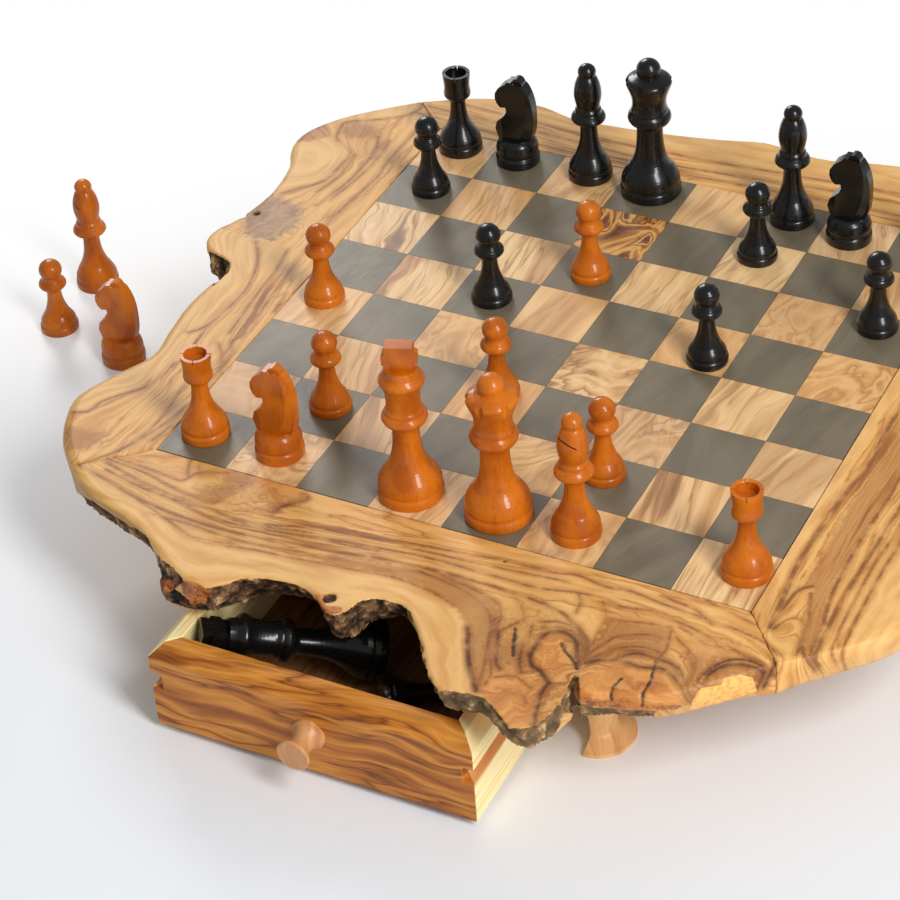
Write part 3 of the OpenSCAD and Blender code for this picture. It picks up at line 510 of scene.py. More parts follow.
# Dark year lines: (half the width, points)
LINES = [
    (0.3, [(-176, -174), (-153, -175.5), (-142, -177), (-134.5, -176.5), (-130, -168), (-117, -163)]),
    (0.3, [(-140, -160), (-136, -170), (-133, -174)]), (0.3, [(-133, -164), (-129, -169)]),
    (0.35, [(-178, -176.5), (-153, -179), (-142, -182), (-122, -186), (-113, -187.4), (-110, -184)]),
    (0.4, [(-178, -179), (-165, -182), (-142, -187.5), (-115, -190), (-96, -192.7), (-78, -190.4),
           (-56, -184), (-34, -181.5), (-12, -177.7), (16, -174), (39, -171), (64, -170), (76, -167.7),
           (92, -170), (103, -168.5), (127, -171.6), (156, -174), (173, -177.7), (182, -183)]),
    (0.45, [(-175, -184), (-152, -189.3), (-129, -192), (-106, -197), (-82, -195), (-56, -191),
            (-40, -188), (-17, -185.4), (3, -183.2), (33, -183), (62, -182.7), (81, -178.8), (96, -178),
            (104, -179.9), (118, -177.7), (134, -180), (151, -184), (171, -190), (181, -193)]),
    (0.7, [(-190, -185.4), (-169, -191.6), (-151, -197), (-131, -200.4), (-111, -202), (-89, -202),
           (-67, -199.3), (-45, -197), (-23, -193.2), (3, -190.4), (31, -189.6), (52, -190.6),
           (75, -192.7), (89, -199.9), (100, -210), (102, -220)]),
    (0.35, [(-151, -197), (-133, -204), (-118, -209.3), (-104, -213.8), (-96, -213.8), (-78, -210),
            (-56, -208), (-34, -205.4), (-17, -204), (-6, -202), (15, -203.8), (31, -208.8)]),
    (0.3, [(-138, -205), (-113, -205), (-89, -206.6), (-56, -203.2), (-34, -200)]),
    (0.3, [(-105, -192.5), (-89, -194), (-56, -188)]), (0.3, [(-165, -184), (-140, -190), (-118, -192)]),
    (0.3, [(120, -166), (137, -169.3), (147, -175)]), (0.4, [(138, -161), (156, -165.4), (165, -168)]),
    (0.3, [(-45, -190.4), (-20, -188)]), (0.3, [(-10, -180), (18, -178.5), (48, -176), (74, -173.5)]),
    (0.4, [(4, -193), (31, -198), (49, -208), (56, -223), (62, -240), (66, -256)]),
    (0.35, [(17, -192), (46, -198), (54, -206), (57, -219)]),
    (0.35, [(53, -209), (58, -227), (67, -243), (68, -252)]), (0.35, [(52, -190), (62, -199), (66, -206)]),
    (0.3, [(71, -208), (75.5, -222), (78, -227)]), (0.3, [(64, -208), (60, -215), (58, -222)]),
    (0.4, [(82, -180), (85, -185), (86, -192)]), (0.35, [(94, -180), (98, -185), (100, -189)]),
    (0.35, [(73, -204), (81, -201), (89, -201.6), (96, -205), (100.6, -210), (102, -218)]),
    (0.3, [(76, -207), (83, -204), (89, -204), (95, -207), (99.4, -214), (101.7, -221)]),
    (0.3, [(86, -197), (93, -201.6), (98.3, -206), (102, -211.6)]),
    (0.3, [(102.8, -221), (102, -211), (101, -200), (100.6, -189)]),
    (0.35, [(103, -221), (104.5, -211), (111, -199), (124, -192.7), (132, -193.8)]),
    (0.35, [(103.5, -221), (112, -208), (124, -201.6), (134, -202.7)]),
    (0.3, [(104, -221), (109, -213), (119, -206), (128, -204)]),
    (0.4, [(144, -198), (149, -203), (152, -209), (153, -218), (158, -225)]),
    (0.35, [(135.6, -190), (147, -198), (151, -205), (152, -218)]),
    (0.35, [(134, -183), (143, -186), (151, -189), (157, -188)]),
    (0.3, [(70, -246), (78, -242), (88, -246)]), (0.3, [(74, -252), (84, -250), (91, -256)]),
    (0.35, [(131, -185), (133, -193), (134.4, -200), (133.3, -207)]),
    (0.3, [(102, -189.4), (109, -188.8), (117, -186.6), (124, -185.4), (131, -184.3)]),
    (0.45, [(-185, 184), (-181, 176), (-186, 166), (-196, 158), (-214, 148), (-215, 140), (-212, 130),
            (-204, 124), (-197, 118), (-196.4, 104), (-197.6, 88), (-207, 76), (-214, 67)]),
    (0.35, [(-194, 118), (-192, 100), (-193, 88), (-196, 76)]),
    (0.4, [(-190, 140), (-186, 130), (-184, 116), (-184, 96), (-187, 76), (-190, 64)]),
    (0.3, [(-182, 138), (-180, 120), (-181, 96), (-185, 72)]),
    (0.35, [(-172, 165), (-173, 120), (-171, 100), (-175, 60), (-173, 10), (-170, -30), (-168, -60)]),
    (0.45, [(-204, 20), (-196, 8), (-190, -6), (-186.4, -24), (-187, -44), (-190, -60), (-196, -68)]),
    (0.3, [(-184, 20), (-180, 0), (-179, -20), (-175, -60)]),
    (0.5, [(-188.6, -94), (-189, -107), (-193, -118.6), (-200, -127), (-207, -137), (-209, -146),
           (-216, -150)]),
    (0.35, [(-174, -107), (-171, -141), (-174, -159), (-179, -171), (-189, -184)]),
    (0.35, [(-164, -121), (-166, -136), (-172, -156), (-177, -169)]),
    (0.35, [(-170, -51), (-167, -59), (-170, -66), (-164, -78), (-164, -107)]),
    (0.35, [(-176, -70), (-170, -77), (-165, -86), (-165, -91)]),
    (0.4, [(-168, -22), (-164, -18), (-162, -34)]), (0.4, [(-163, -141), (-164, -147), (-166, -155)]),
    (0.9, [(174, 60), (172, 0), (173, -42), (170, -67), (168, -117), (170, -142), (172, -167)]),
    (0.6, [(196, 60), (191, 0), (191, -40), (189, -100), (190, -133), (194, -158), (196, -177),
           (208, -188)]),
    (0.6, [(180, -133), (175, -138), (173, -150), (172, -163)]),
    (0.6, [(181, -138), (184, -147), (188, -160), (192, -177), (207, -190)]),
    (0.5, [(174, -168), (177, -160), (182, -157), (186, -162), (189, -172), (190, -180)]),
    (0.8, [(204, 80), (199, 0), (198, -70), (196, -133), (198, -175), (204, -184)]),
    (0.5, [(214, 80), (208, 0), (207, -83), (206, -117), (208, -167), (218, -182)]),
    (0.35, [(202, -40), (202, -83), (201, -117), (203, -167), (212, -180)]),
    (0.35, [(-180, 171), (-90, 165), (0, 167), (90, 171), (190, 168)]),
    (0.35, [(-178, 180), (-110, 178), (-30, 173), (30, 177), (100, 182), (185, 178)]),
    (0.3, [(-170, 190), (-60, 184), (20, 186), (120, 192), (190, 188)]),
]
# Purple-brown outlines in the burls
DARK_LINES = [
    (0.8, [(44, -221), (47, -226), (49.4, -231.6), (53, -238), (57, -245), (62, -252), (66, -257)]),
    (0.75, [(101.7, -224), (97, -215), (94, -210), (89, -207), (84.4, -207), (80, -210), (78.3, -216),
           (78.3, -223), (79, -227), (82, -232), (87, -234), (91, -237), (94.4, -240)]),
    (0.35, [(104, -221.6), (109, -217), (116, -212.7), (122, -207), (130, -206), (142, -207.7),
           (148, -212.7), (152, -218), (157, -224), (161, -228)]),
    (0.3, [(104.4, -222), (112, -216), (120, -214.3), (129, -214.3), (138, -211.6), (149, -218),
           (154, -224), (160, -229)]),
    (0.55, [(161.7, -229), (158, -221.6), (159, -215), (158.3, -208), (161.7, -200.4), (168, -196),
           (175.6, -195), (181, -197), (183.3, -202.7), (184.4, -209)]),
    (0.35, [(156.7, -223), (155.6, -211.6), (158, -202.7), (163, -195), (171, -191.6), (178, -192.7),
           (182, -197)]),
    (0.5, [(183, -188), (184.4, -194), (185.6, -200), (187, -207)]),
    (0.3, [(-74, -163), (-70, -166), (-73, -170), (-79, -176), (-81, -182)]),
    (0.4, [(58, -217), (62, -226), (66, -236), (70, -240)]), (0.35, [(72, -220), (76, -232), (80, -238)]),
    (0.5, [(94.4, -240), (94, -247), (96, -254), (98, -262), (100, -268)]),
]
# Open cracks, cut into the wood
CRACKS = [
    (0.5, [(64.4, -212), (66.7, -218), (68.9, -224), (71.5, -229)]),
    (0.5, [(88.3, -212.7), (91.7, -217), (96, -220), (99.4, -222.7), (102, -226)]),
    (0.35, [(133, -208), (134.4, -214), (136, -222), (136, -229), (138, -234), (141, -239)]),
    (0.35, [(123.3, -224), (122, -229), (123, -235), (126, -240)]),
]
# Areas of other colour, as outlines. Brown heartwood:
BROWN = [
    [(-117, -159), (-101, -159), (-101, -168), (-106, -177), (-110, -185), (-113, -187), (-122, -184),
     (-128, -179), (-117, -175), (-114, -171), (-117, -166)],
    [(-74, -164), (-70, -165), (-72, -172), (-79, -178), (-81, -183), (-93, -187), (-106, -190.5),
     (-94, -184), (-87, -180), (-83, -175)],
    [(-40, -198), (0, -192), (30, -192), (48, -198), (58, -212), (66, -236), (68, -256), (60, -250),
     (48, -226), (36, -212), (24, -206), (0, -201), (-40, -204)],
    [(103, -190), (131, -186), (134, -204), (122, -206), (108, -216), (102, -214)],
    [(64, -216), (72, -222), (80, -232), (76, -238), (66, -236)],
    [(175, -10), (189, -10), (190, -60), (189, -133), (194, -160), (197, -178), (190, -178), (184, -150),
     (181, -134), (176, -138), (175, -100)],
    [(175, -8), (189, -8), (194, 60), (190, 170), (178, 170), (180, 60)],
    [(-214, -161), (-200, -160), (-190, -157), (-190, -166), (-193, -174), (-203, -178), (-210, -170)],
    [(-228, 147), (-223, 140), (-217, 130), (-226, 121), (-236, 118), (-236, 130), (-232, 140)],
    [(-212, 150), (-192, 146), (-190, 140), (-196, 136), (-206, 132), (-214, 138)],
    [(158, -206), (163, -198), (170, -194), (178, -194), (183, -200), (180, -202), (172, -202),
     (166, -206), (164, -214), (160, -216)],
]
# Grey, smoky wood
GREY = [
    [(-225, 51), (-217, 64), (-207, 62), (-196, 58), (-190, 44), (-192, 34), (-196, 24), (-208, 22),
     (-218, 32), (-224, 42)],
]
# Orange wood in and near the burls
ORANGE = [
    [(-99, -160), (-79, -160), (-75, -164), (-82, -173), (-94, -168), (-99, -166)],
    [(68, -238), (92, -240), (94, -256), (98, -270), (90, -276), (76, -262), (66, -256)],
    [(106, -226), (120, -216), (140, -214), (160, -230), (140, -244), (108, -246)],
    [(80, -212), (88, -210), (96, -220), (98, -232), (92, -236), (82, -230)],
]
# A bright burl
BRIGHT = [
    [(159, -217), (167, -212), (166, -207), (172, -202), (178, -202), (182, -206), (186, -211),
     (173, -226), (163, -234), (160, -227)],
]
# Holes: (x, y, radius). They are sunk into the wood and painted near black inside, as painted shade
HOLES = [(-25.5, -226.5, 3.4), (-217, 45, 1.8), (-224.5, 40, 2.6), (39.5, -171.5, 0.8)]
# Bark on the edges that the camera sees. Two outlines are painted shade, wholly or in part, as noted at them
BARK_AND_PAINTED_SHADE = [
    [(-181, -207.5), (-170, -209), (-158, -213), (-146, -217), (-136, -219), (-129, -222), (-122, -229),
     (-115, -233), (-106, -236), (-100, -240), (-96, -244), (-98, -251), (-88, -256), (-78, -254),
     (-74, -266), (-100, -282), (-118, -262), (-132, -242), (-150, -230), (-172, -226), (-184, -213)],
    [(-84, -244), (-80, -242), (-74, -236), (-71, -231), (-66, -228.5), (-60, -226.5), (-50, -225),
     (-41, -225.5), (-34, -229), (-29, -234), (-26, -237), (-30, -248), (-56, -262), (-76, -268),
     (-86, -256)],
    # Partly bark and partly painted shadow under the rim
    [(-15, -233), (-15, -224), (-11, -219.5), (-6, -218), (-1, -217.5), (8, -218.5), (14, -221),
     (18, -226), (20, -231), (24, -235), (28, -238), (31, -241), (34, -246), (40, -254), (46, -261),
     (51, -264.5), (46, -284), (20, -262), (0, -250), (-14, -244)],
    [(51, -264.5), (54, -262), (58, -259), (61, -256.5), (65, -256), (70, -259), (74, -261.5),
     (82, -265), (86, -270), (90, -274), (96, -300), (70, -300), (48, -284)],
    [(96, -228), (99, -225.5), (100.5, -231), (99.5, -238), (103, -243), (102, -249), (108, -253),
     (114, -268), (112, -290), (96, -300), (90, -275), (95, -268), (97, -262), (96, -256), (94, -250),
     (93.5, -244), (96, -240), (97.5, -236), (96, -232)],
    [(100, -224), (103, -226.5), (106, -234), (109, -243), (114, -248.5), (124, -247.6), (131, -246),
     (140, -243.4), (148, -240), (152, -250), (130, -258), (108, -256), (100, -238)],
    # Painted shade: bark colour on the spur under the knot hole stands for its shadow
    [(-33, -231), (-29.6, -231.5), (-22, -237), (-17.5, -237), (-13.5, -234), (-12, -241), (-4, -243),
     (-2, -252), (-14, -256), (-26, -250), (-36, -240)],
    [(-231, 0), (-222, 2), (-215, 0), (-208, -3), (-203, -9), (-201, -16), (-204, -26), (-226, -14)],
    [(-206, -77), (-204.6, -86), (-203.6, -96), (-208, -102), (-214, -84)],
]
# Rind left low on the sides that the camera doesn't see: (x, y, radius, how far below the surface)
BARK_BEHIND = [
    (-160, 222, 26, 12), (-120, 210, 20, 15), (-60, 214, 34, 13), (60, 220, 28, 12), (100, 224, 22, 9),
    (160, 226, 26, 13), (236, 120, 30, 12), (244, 60, 22, 15), (246, -20, 34, 12), (228, -120, 24, 13),
    (-224, 130, 20, 12), (-232, 60, 16, 13),
]
# Reddish rind that has lost its bark
RUDDY = [
    [(-98, -243), (-90, -241.5), (-82, -243.5), (-78, -249), (-78.5, -255), (-84, -259), (-90, -256),
     (-94, -250)],
    [(-109, -251), (-105, -246.5), (-100, -247), (-99, -253), (-103, -257.5)],
    [(106, -236), (110, -243), (118, -247.5), (124, -246.8), (131, -245), (140, -242.6), (140, -239.5),
     (128, -242), (118, -243.5), (112, -239)],
    [(-33, -227), (-28, -235), (-21, -238), (-15, -234), (-17, -230), (-24, -232), (-30, -226)],
    [(122, -243), (130, -236), (138, -238), (150, -234), (158, -231), (156, -236), (142, -241),
     (128, -244)],
]
# Golden wood just under the edge
GOLD = [
    [(-194, -189), (-181, -200), (-168, -206), (-150, -211), (-138, -217), (-128, -222), (-120, -231),
     (-136, -226), (-160, -218), (-186, -212), (-200, -196)],
]
# Pale sapwood, mostly outside the outermost dark lines
SAPWOOD = [
    [(-200, -186), (-169, -192), (-151, -197), (-133, -204), (-111, -213), (-88, -212), (-56, -208.5),
     (-25, -205), (5, -203), (24, -206.5), (37, -214), (47, -226), (53, -238), (65, -258), (50, -290),
     (-220, -290)],
    [(-216, -150), (-209, -146), (-200, -127), (-189, -100), (-190, -70), (-187, -44), (-187, -20),
     (-196, 8), (-208, 24), (-260, 24), (-260, -150)],
    [(-214, 67), (-207, 76), (-197.6, 88), (-197, 118), (-212, 130), (-217, 130), (-228, 121),
     (-240, 110), (-240, 60)],
    [(-228, 147), (-214, 148), (-196, 158), (-186, 166), (-181, 176), (-185, 190), (-230, 200),
     (-250, 150)],
    [(209, -60), (208, -83), (207, -117), (208, -167), (220, -186), (260, -180), (260, 200),
     (215, 200), (214, 60)],
    [(160, -160), (160, 170), (166, 170), (166, -158)],
    [(-180, 190), (-60, 184), (20, 186), (120, 192), (190, 188), (220, 240), (-200, 240)],
]
# Burls, where the grain curls: (x, y, radius, strength)
BURLS = [
    (78, -230, 26, 1.0), (130, -218, 28, 0.7), (168, -208, 18, 1.0), (-207, 44, 18, 0.8),
    (-100, -170, 16, 0.6), (96, -250, 18, 0.8), (-205, 145, 16, 0.5), (-200, -165, 14, 0.5),
    (60, -205, 16, 0.5),
]


def link(name, mesh):
    piece = bpy.data.objects.new(name, mesh)
    bpy.context.scene.collection.objects.link(piece)
    return piece


def apply_modifier(piece, kind, **settings):
    """Makes what a modifier gives the piece's own mesh."""
    added = piece.modifiers.new(kind.lower(), kind)
    for name, value in settings.items():
        setattr(added, name, value)
    graph = bpy.context.evaluated_depsgraph_get()
    made = bpy.data.meshes.new_from_object(piece.evaluated_get(graph))
    old = piece.data
    piece.modifiers.clear()
    piece.data = made
    bpy.data.meshes.remove(old)


def vertex_vectors(mesh, what):
    """The place, co, or the normal of each vertex."""
    found = np.empty(len(mesh.vertices) * 3)
    mesh.vertices.foreach_get(what, found)
    return found.reshape(-1, 3)


def put_attribute(mesh, name, values):
    made = mesh.attributes.new(name, "FLOAT", "POINT")
    made.data.foreach_set("value", np.asarray(values, dtype=np.float32))


def sampled(points, step=9.0):
    """Points a few millimetres apart on a polyline."""
    points = np.array(points, dtype=float)
    out = [points[0]]
    for a, b in zip(points[:-1], points[1:]):
        count = max(1, int(np.linalg.norm(b - a) / step))
        out += [a + (b - a) * (k + 1) / count for k in range(count)]
    return np.array(out)


# The rings' field: the length in mm that it counts in, how loosely it holds to the drawn levels and
# how many places are worked out at once
FIELD_UNIT = 40
FIELD_EASE = 0.002
FIELD_PART = 20000


def level_field(lines):
    """A smooth field over the board that takes each line's level along that line."""
    places, levels = [], []
    for level, line in lines:
        found = sampled(line)
        places.append(found)
        levels += [level] * len(found)
    places = np.concatenate(places)

    def kernel(a, b):
        apart = np.linalg.norm(a[:, None, :] - b[None, :, :], axis=2) / FIELD_UNIT
        return apart * apart * np.log(apart + 1e-6)

    count = len(places)
    corner = np.hstack([np.ones((count, 1)), places / FIELD_UNIT])
    system = np.zeros((count + 3, count + 3))
    system[:count, :count] = kernel(places, places) + FIELD_EASE * np.eye(count)
    system[:count, count:] = corner
    system[count:, :count] = corner.T
    weights = np.linalg.solve(system, np.concatenate([levels, np.zeros(3)]))

    def field(at):
        out = np.empty(len(at))
        for start in range(0, len(at), FIELD_PART):
            part = at[start:start + FIELD_PART]
            rest = np.hstack([np.ones((len(part), 1)), part / FIELD_UNIT])
            out[start:start + FIELD_PART] = kernel(part, places) @ weights[:count] + rest @ weights[count:]
        return out

    return field


def bumps(at, spots):
    """The sum of round hills (x, y, radius, height) at each place."""
    total = np.zeros(len(at))
    for x, y, radius, height in spots:
        apart = (at[:, 0] - x) ** 2 + (at[:, 1] - y) ** 2
        total += height * np.exp(-apart / radius ** 2)
    return total


def distance_to(at, line):
    """How far each place is from a polyline."""
    closest = np.full(len(at), 1e9)
    line = np.array(line, dtype=float)
    for a, b in zip(line[:-1], line[1:]):
        ab = b - a
        t = np.clip(((at - a) @ ab) / (ab @ ab), 0, 1)
        closest = np.minimum(closest, np.linalg.norm(at - a - t[:, None] * ab, axis=1))
    return closest


def curved(points, steps=4):
    """A Catmull-Rom curve through the points."""
    p = np.array(points, dtype=float)
    p = np.vstack([2 * p[0] - p[1], p, 2 * p[-1] - p[-2]])
    out = []
    for a, b, c, d in zip(p[:-3], p[1:-2], p[2:-1], p[3:]):
        for k in range(steps):
            t = k / steps
            out.append(0.5 * (2 * b + (c - a) * t + (2 * a - 5 * b + 4 * c - d) * t * t
                              + (3 * b - a - 3 * c + d) * t * t * t))
    out.append(p[-2])
    return np.array(out)


# Depth kept for places this far outside a stroke or area, or further, in millimetres
DEEPEST = -8.0


def near_to(at, points):
    """Which places are near enough to some points to be measured from them."""
    low, high = points.min(0) + DEEPEST, points.max(0) - DEEPEST
    return np.all((at > low) & (at < high), axis=1)


def strokes(at, lines):
    """How far inside the nearest of some lines each place is, in mm: below 0 outside it."""
    depth = np.full(len(at), DEEPEST)
    for half_width, line in lines:
        curve = curved(line)
        near = near_to(at, curve)
        if near.any():
            found = half_width - distance_to(at[near], curve)
            depth[near] = np.maximum(depth[near], found)
    return depth


def areas(at, outlines):
    """How far inside the nearest of some outlines each place is, in mm: below 0 outside it."""
    depth = np.full(len(at), DEEPEST)
    for outline in outlines:
        p = np.array(outline, dtype=float)
        near = near_to(at, p)
        if not near.any():
            continue
        part = at[near]
        within = np.zeros(len(part), dtype=bool)
        for a, b in zip(p, np.roll(p, -1, axis=0)):
            crosses = (a[1] > part[:, 1]) != (b[1] > part[:, 1])
            with np.errstate(divide="ignore", invalid="ignore"):
                left = part[:, 0] < (b[0] - a[0]) * (part[:, 1] - a[1]) / (b[1] - a[1]) + a[0]
            within ^= crosses & left
        apart = distance_to(part, np.vstack([p, p[:1]]))
        depth[near] = np.maximum(depth[near], np.where(within, apart, -apart))
    return np.clip(depth, DEEPEST, -DEEPEST)


def rough(points, scale, seed, octaves=4):
    """Rough noise, about -1 to 1, at each point, given in mm, over features of scale mm."""
    shift = Vector((seed * 17.3, seed * 5.1, seed * 9.7))
    return np.array([
        noise.fractal(Vector(p) / scale + shift, 0.9, 2.1, octaves, noise_basis="PERLIN_ORIGINAL")
        for p in points
    ])


def smooth_step(value, low, high):
    t = np.clip((value - low) / (high - low), 0, 1)
    return t * t * (3 - 2 * t)


# The slope, in plan, of the line of sight: the tables are drawn as the camera sees the board
SIGHT = np.array([0.617, -1.107])


def seen_at(mm):
    """Where the line of sight through each point crosses the level of the playing surface."""
    return mm[:, :2] - mm[:, 2:] * SIGHT


def bark_share(mm, seen, normals):
    """From 0 to 1, how much each point of a rail is covered with bark; in two outlines this is painted
    shade.
    """
    drawn = smooth_step(areas(seen, BARK_AND_PAINTED_SHADE), -0.6, 0.8) * (np.abs(normals[:, 2]) < 0.97)
    side = smooth_step(0.8 - np.abs(normals[:, 2]), 0.0, 0.35)
    behind = np.zeros(len(mm))
    for x, y, radius, reach in BARK_BEHIND:
        apart = np.hypot(mm[:, 0] - x, mm[:, 1] - y)
        spot = np.clip(1.6 - 1.6 * apart / radius, 0, 1) * smooth_step(-mm[:, 2], reach, reach + 2.5)
        behind = np.maximum(behind, spot)
    return np.maximum(drawn, behind * side)


def soft_line(s, name, jitter, shade, tint, halo, halo_share, share):
    """Draws the strokes kept under name over shade, here strong and there faint."""
    x, y, z = s.parts(s.place())
    fine = s.noise(s.place(), 0.9, detail=2)
    force = s.grain((x, y, z), (13, 13, 13), detail=2)
    depth = s.add(s.attribute(name), s.add(s.times(jitter, 0.8), s.times(s.add(fine, -0.5), 1.1)))
    halo_depth = s.spread(depth, -3.4, -0.2, 0.0, halo_share)
    shade = s.mix(s.times(halo_depth, s.spread(force, 0.3, 0.55, 0.4, 1.0)), shade, halo)
    core = s.spread(depth, -0.9, 0.3, 0.0, share)
    return s.mix(s.times(core, s.spread(force, 0.36, 0.6, 0.35, 1.0)), shade, tint)


def patch(s, name, jitter, shade, tint, edge, share):
    """Tints the areas kept under name. edge is how softly they end, in mm."""
    depth = s.add(s.attribute(name), s.times(jitter, 3 * edge))
    return s.mix(s.times(s.spread(depth, -edge, edge), share), shade, tint)


def rail_wood():
    """The rails' figure comes from the rings, lines and areas kept on their points."""
    s = Shader("rail_wood")
    x, y, z = s.parts(s.place())
    along, wild = s.attribute("along"), s.attribute("wild")
    wobble = s.grain((x, y, z), (9, 9, 9), detail=4)
    jitter = s.add(s.grain((x, y, z), (3, 3, 3), detail=3), -0.5)
    swing = s.spread(wild, 0.0, 1.0, 3.0, 30.0, smooth=False)
    ring = s.add(s.attribute("ring"), s.times(s.add(wobble, -0.5), swing))
    lines = s.spread(wild, 0.0, 0.8, 0.35, 0.95, smooth=False)
    shade, height = figured(s, ring, along, 0.0, OLIVE, width=13.0, line_gap=3.0, lines=lines)
    ripple = s.grain((ring, along), (5, 30), 5.0, detail=4)
    sapwood = s.mix(s.spread(ripple, 0.36, 0.68), (240, 192, 120), (220, 162, 94))
    twist = s.grain((ring, along), (5, 26), 8.0, detail=3)
    knotty = s.times(s.spread(wild, 0.1, 0.8), s.spread(twist, 0.46, 0.64, 0.25, 0.8))
    shade = s.mix(knotty, shade, (158, 96, 46))
    shade = patch(s, "sap", jitter, shade, sapwood, 1.0, 0.85)
    shade = patch(s, "brown", jitter, shade, (158, 98, 50), 2.6, 0.55)
    ember = s.mix(s.spread(ripple, 0.42, 0.6), (226, 150, 76), (186, 108, 52))
    shade = patch(s, "orange", jitter, shade, ember, 1.8, 0.6)
    smoke = s.mix(s.spread(ripple, 0.38, 0.62), (122, 92, 72), (176, 140, 110))
    shade = patch(s, "grey", s.times(jitter, 1.8), shade, smoke, 3.0, 0.75)
    shade = patch(s, "gold", jitter, shade, (186, 142, 68), 0.8, 0.75)
    shade = soft_line(s, "line", jitter, shade, (108, 62, 28), (178, 114, 56), 0.5, 0.7)
    shade = soft_line(s, "dark", jitter, shade, (76, 40, 24), (146, 86, 42), 0.7, 0.85)
    burr = s.noise(s.place(), 0.35, detail=4)
    glow = s.mix(s.spread(burr, 0.42, 0.7), (252, 196, 108), (236, 160, 80))
    shade = patch(s, "bright", jitter, shade, glow, 0.3, 1.0)
    speck = s.noise(s.place(), 0.8, detail=5, roughness=0.7)
    # The rind follows the carved relief, darker in its pits and paler on its ridges: partly the bark's own
    # colour, partly painted shade in the pits and painted light on the ridges. It is also paler from 25 to
    # 60 mm along X
    rind = s.ramp(s.add(s.attribute("pit"), s.times(s.add(speck, -0.5), 0.9)), [
        (0.15, (18, 11, 7)), (0.36, (52, 34, 22)), (0.54, (104, 74, 48)),
        (0.70, (146, 108, 72)), (0.86, (214, 176, 128))])
    rind = s.mix(s.spread(x, 25, 60, 0.0, 0.25), rind, (164, 138, 94))
    bark = s.attribute("bark")
    shade = s.mix(s.spread(s.add(bark, s.times(jitter, 0.5)), 0.3, 0.5), shade, rind)
    ruddy = s.mix(s.spread(s.add(wobble, speck), 0.8, 1.2), (112, 54, 26), (216, 130, 62))
    shade = patch(s, "ruddy", jitter, shade, ruddy, 0.8, 0.9)
    # Painted shade: the holes near black
    shade = patch(s, "hole_shade", jitter, shade, (46, 22, 16), 0.5, 0.95)
    crack = s.spread(s.add(s.attribute("crack"), s.times(jitter, 1.8)), -0.9, 0.1)
    shade = s.mix(s.times(crack, 0.9), shade, (40, 30, 22))
    s.set(Base_Color=shade, Roughness=s.spread(bark, 0.2, 0.6, 0.46, 0.85), Specular_IOR_Level=0.32)
    s.set(Normal=s.bump(s.add(height, s.times(s.times(speck, bark), 3.0)), 0.15, 0.0004))
    return s.material


RAIL_WOOD = rail_wood()
# Carving, in millimetres: the scale of the bark's relief, the most that bark stands proud of the
# solid, and the depths of cracks and holes
BARK_RELIEF = 4.2
BARK_PROUD = 0.6
CRACK_DEPTH = 0.9
HOLE_DEPTH = 2.2
# The areas whose depth is kept on the rails' points, by the name that the material reads
AREAS = {
    "sap": SAPWOOD, "brown": BROWN, "grey": GREY, "orange": ORANGE, "bright": BRIGHT, "gold": GOLD,
    "ruddy": RUDDY}
# Each rail's rings, and whether it runs along X
RAILS = {
    "front_rail": (FRONT_RINGS, True), "left_rail": (LEFT_RINGS, False),
    "right_rail": (RIGHT_RINGS, False), "back_rail": (BACK_RINGS, True)}


def carve_rail(mesh, mm, seen, normals):
    """Roughens the bark, cuts the cracks and sinks the holes. Gives the bark, pits and cracks."""
    bark = bark_share(mm, seen, normals)
    rind = bark > 0.02
    chunks = np.full(len(mm), 0.5)
    chunks[rind] = 0.5 + 0.42 * (rough(mm[rind] * [1, 1, 0.7], 7.0, 1, 5) + 0.4 * rough(mm[rind], 2.6, 2, 2))
    lift = np.minimum(bark * (np.clip(chunks, -0.2, 1.1) - 0.75) * BARK_RELIEF, BARK_PROUD)
    facing_up = normals[:, 2] > 0.1
    crack = strokes(seen, CRACKS)
    lift -= CRACK_DEPTH * np.exp(-(np.maximum(0, -crack) / 0.6) ** 2) * facing_up
    for x, y, radius in HOLES:
        apart = np.hypot(seen[:, 0] - x, seen[:, 1] - y)
        lift -= HOLE_DEPTH * smooth_step(radius + 0.4 - apart, 0.0, 1.6) * facing_up
    mesh.vertices.foreach_set("co", ((mm + normals * lift[:, None]) * MM).ravel())
    mesh.update()
    return bark, chunks, crack


def make_rail(node, rings, along_x):
    """One rail as dense mesh, with its figure, bark, cracks and colours kept on its points."""
    piece = link(node + "_wood", nodes[node].data.copy())
    apply_modifier(piece, "REMESH", mode="VOXEL", voxel_size=VOXEL, use_smooth_shade=True)
    mesh = piece.data
    mm = vertex_vectors(mesh, "co") / MM
    seen = seen_at(mm)
    bark, chunks, crack = carve_rail(mesh, mm, seen, vertex_vectors(mesh, "normal"))
    holes = np.max([radius - np.hypot(seen[:, 0] - x, seen[:, 1] - y) for x, y, radius in HOLES], axis=0)
    values = {
        "ring": level_field(rings)(seen),
        "along": seen[:, 0] if along_x else seen[:, 1],
        "wild": np.clip(bumps(seen, BURLS), 0, 1),
        "line": strokes(seen, LINES),
        "dark": strokes(seen, DARK_LINES),
        "hole_shade": np.maximum(holes, DEEPEST),
        "crack": crack,
        "bark": bark,
        "pit": chunks,
    }
    values.update((name, areas(seen, outlines)) for name, outlines in AREAS.items())
    for name, found in values.items():
        put_attribute(mesh, name, found)
    mesh.materials.clear()
    mesh.materials.append(RAIL_WOOD)
    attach(piece, "board")
    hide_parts(node)


# ---- Case and drawers ----

# The flat-sided nodes of each body, whose edges are sanded
EASED = {"board": ["case_left_wall", "case_right_wall"]}
for drawer in ("front_drawer", "back_drawer"):
    EASED[drawer] = [f"{drawer}_{side}" for side in ("front", "left_side", "right_side", "back")]
# The heights between which the faces of a drawer side's runner groove lie, in millimetres
GROOVE_LOW, GROOVE_HIGH = -53.0, -42.0


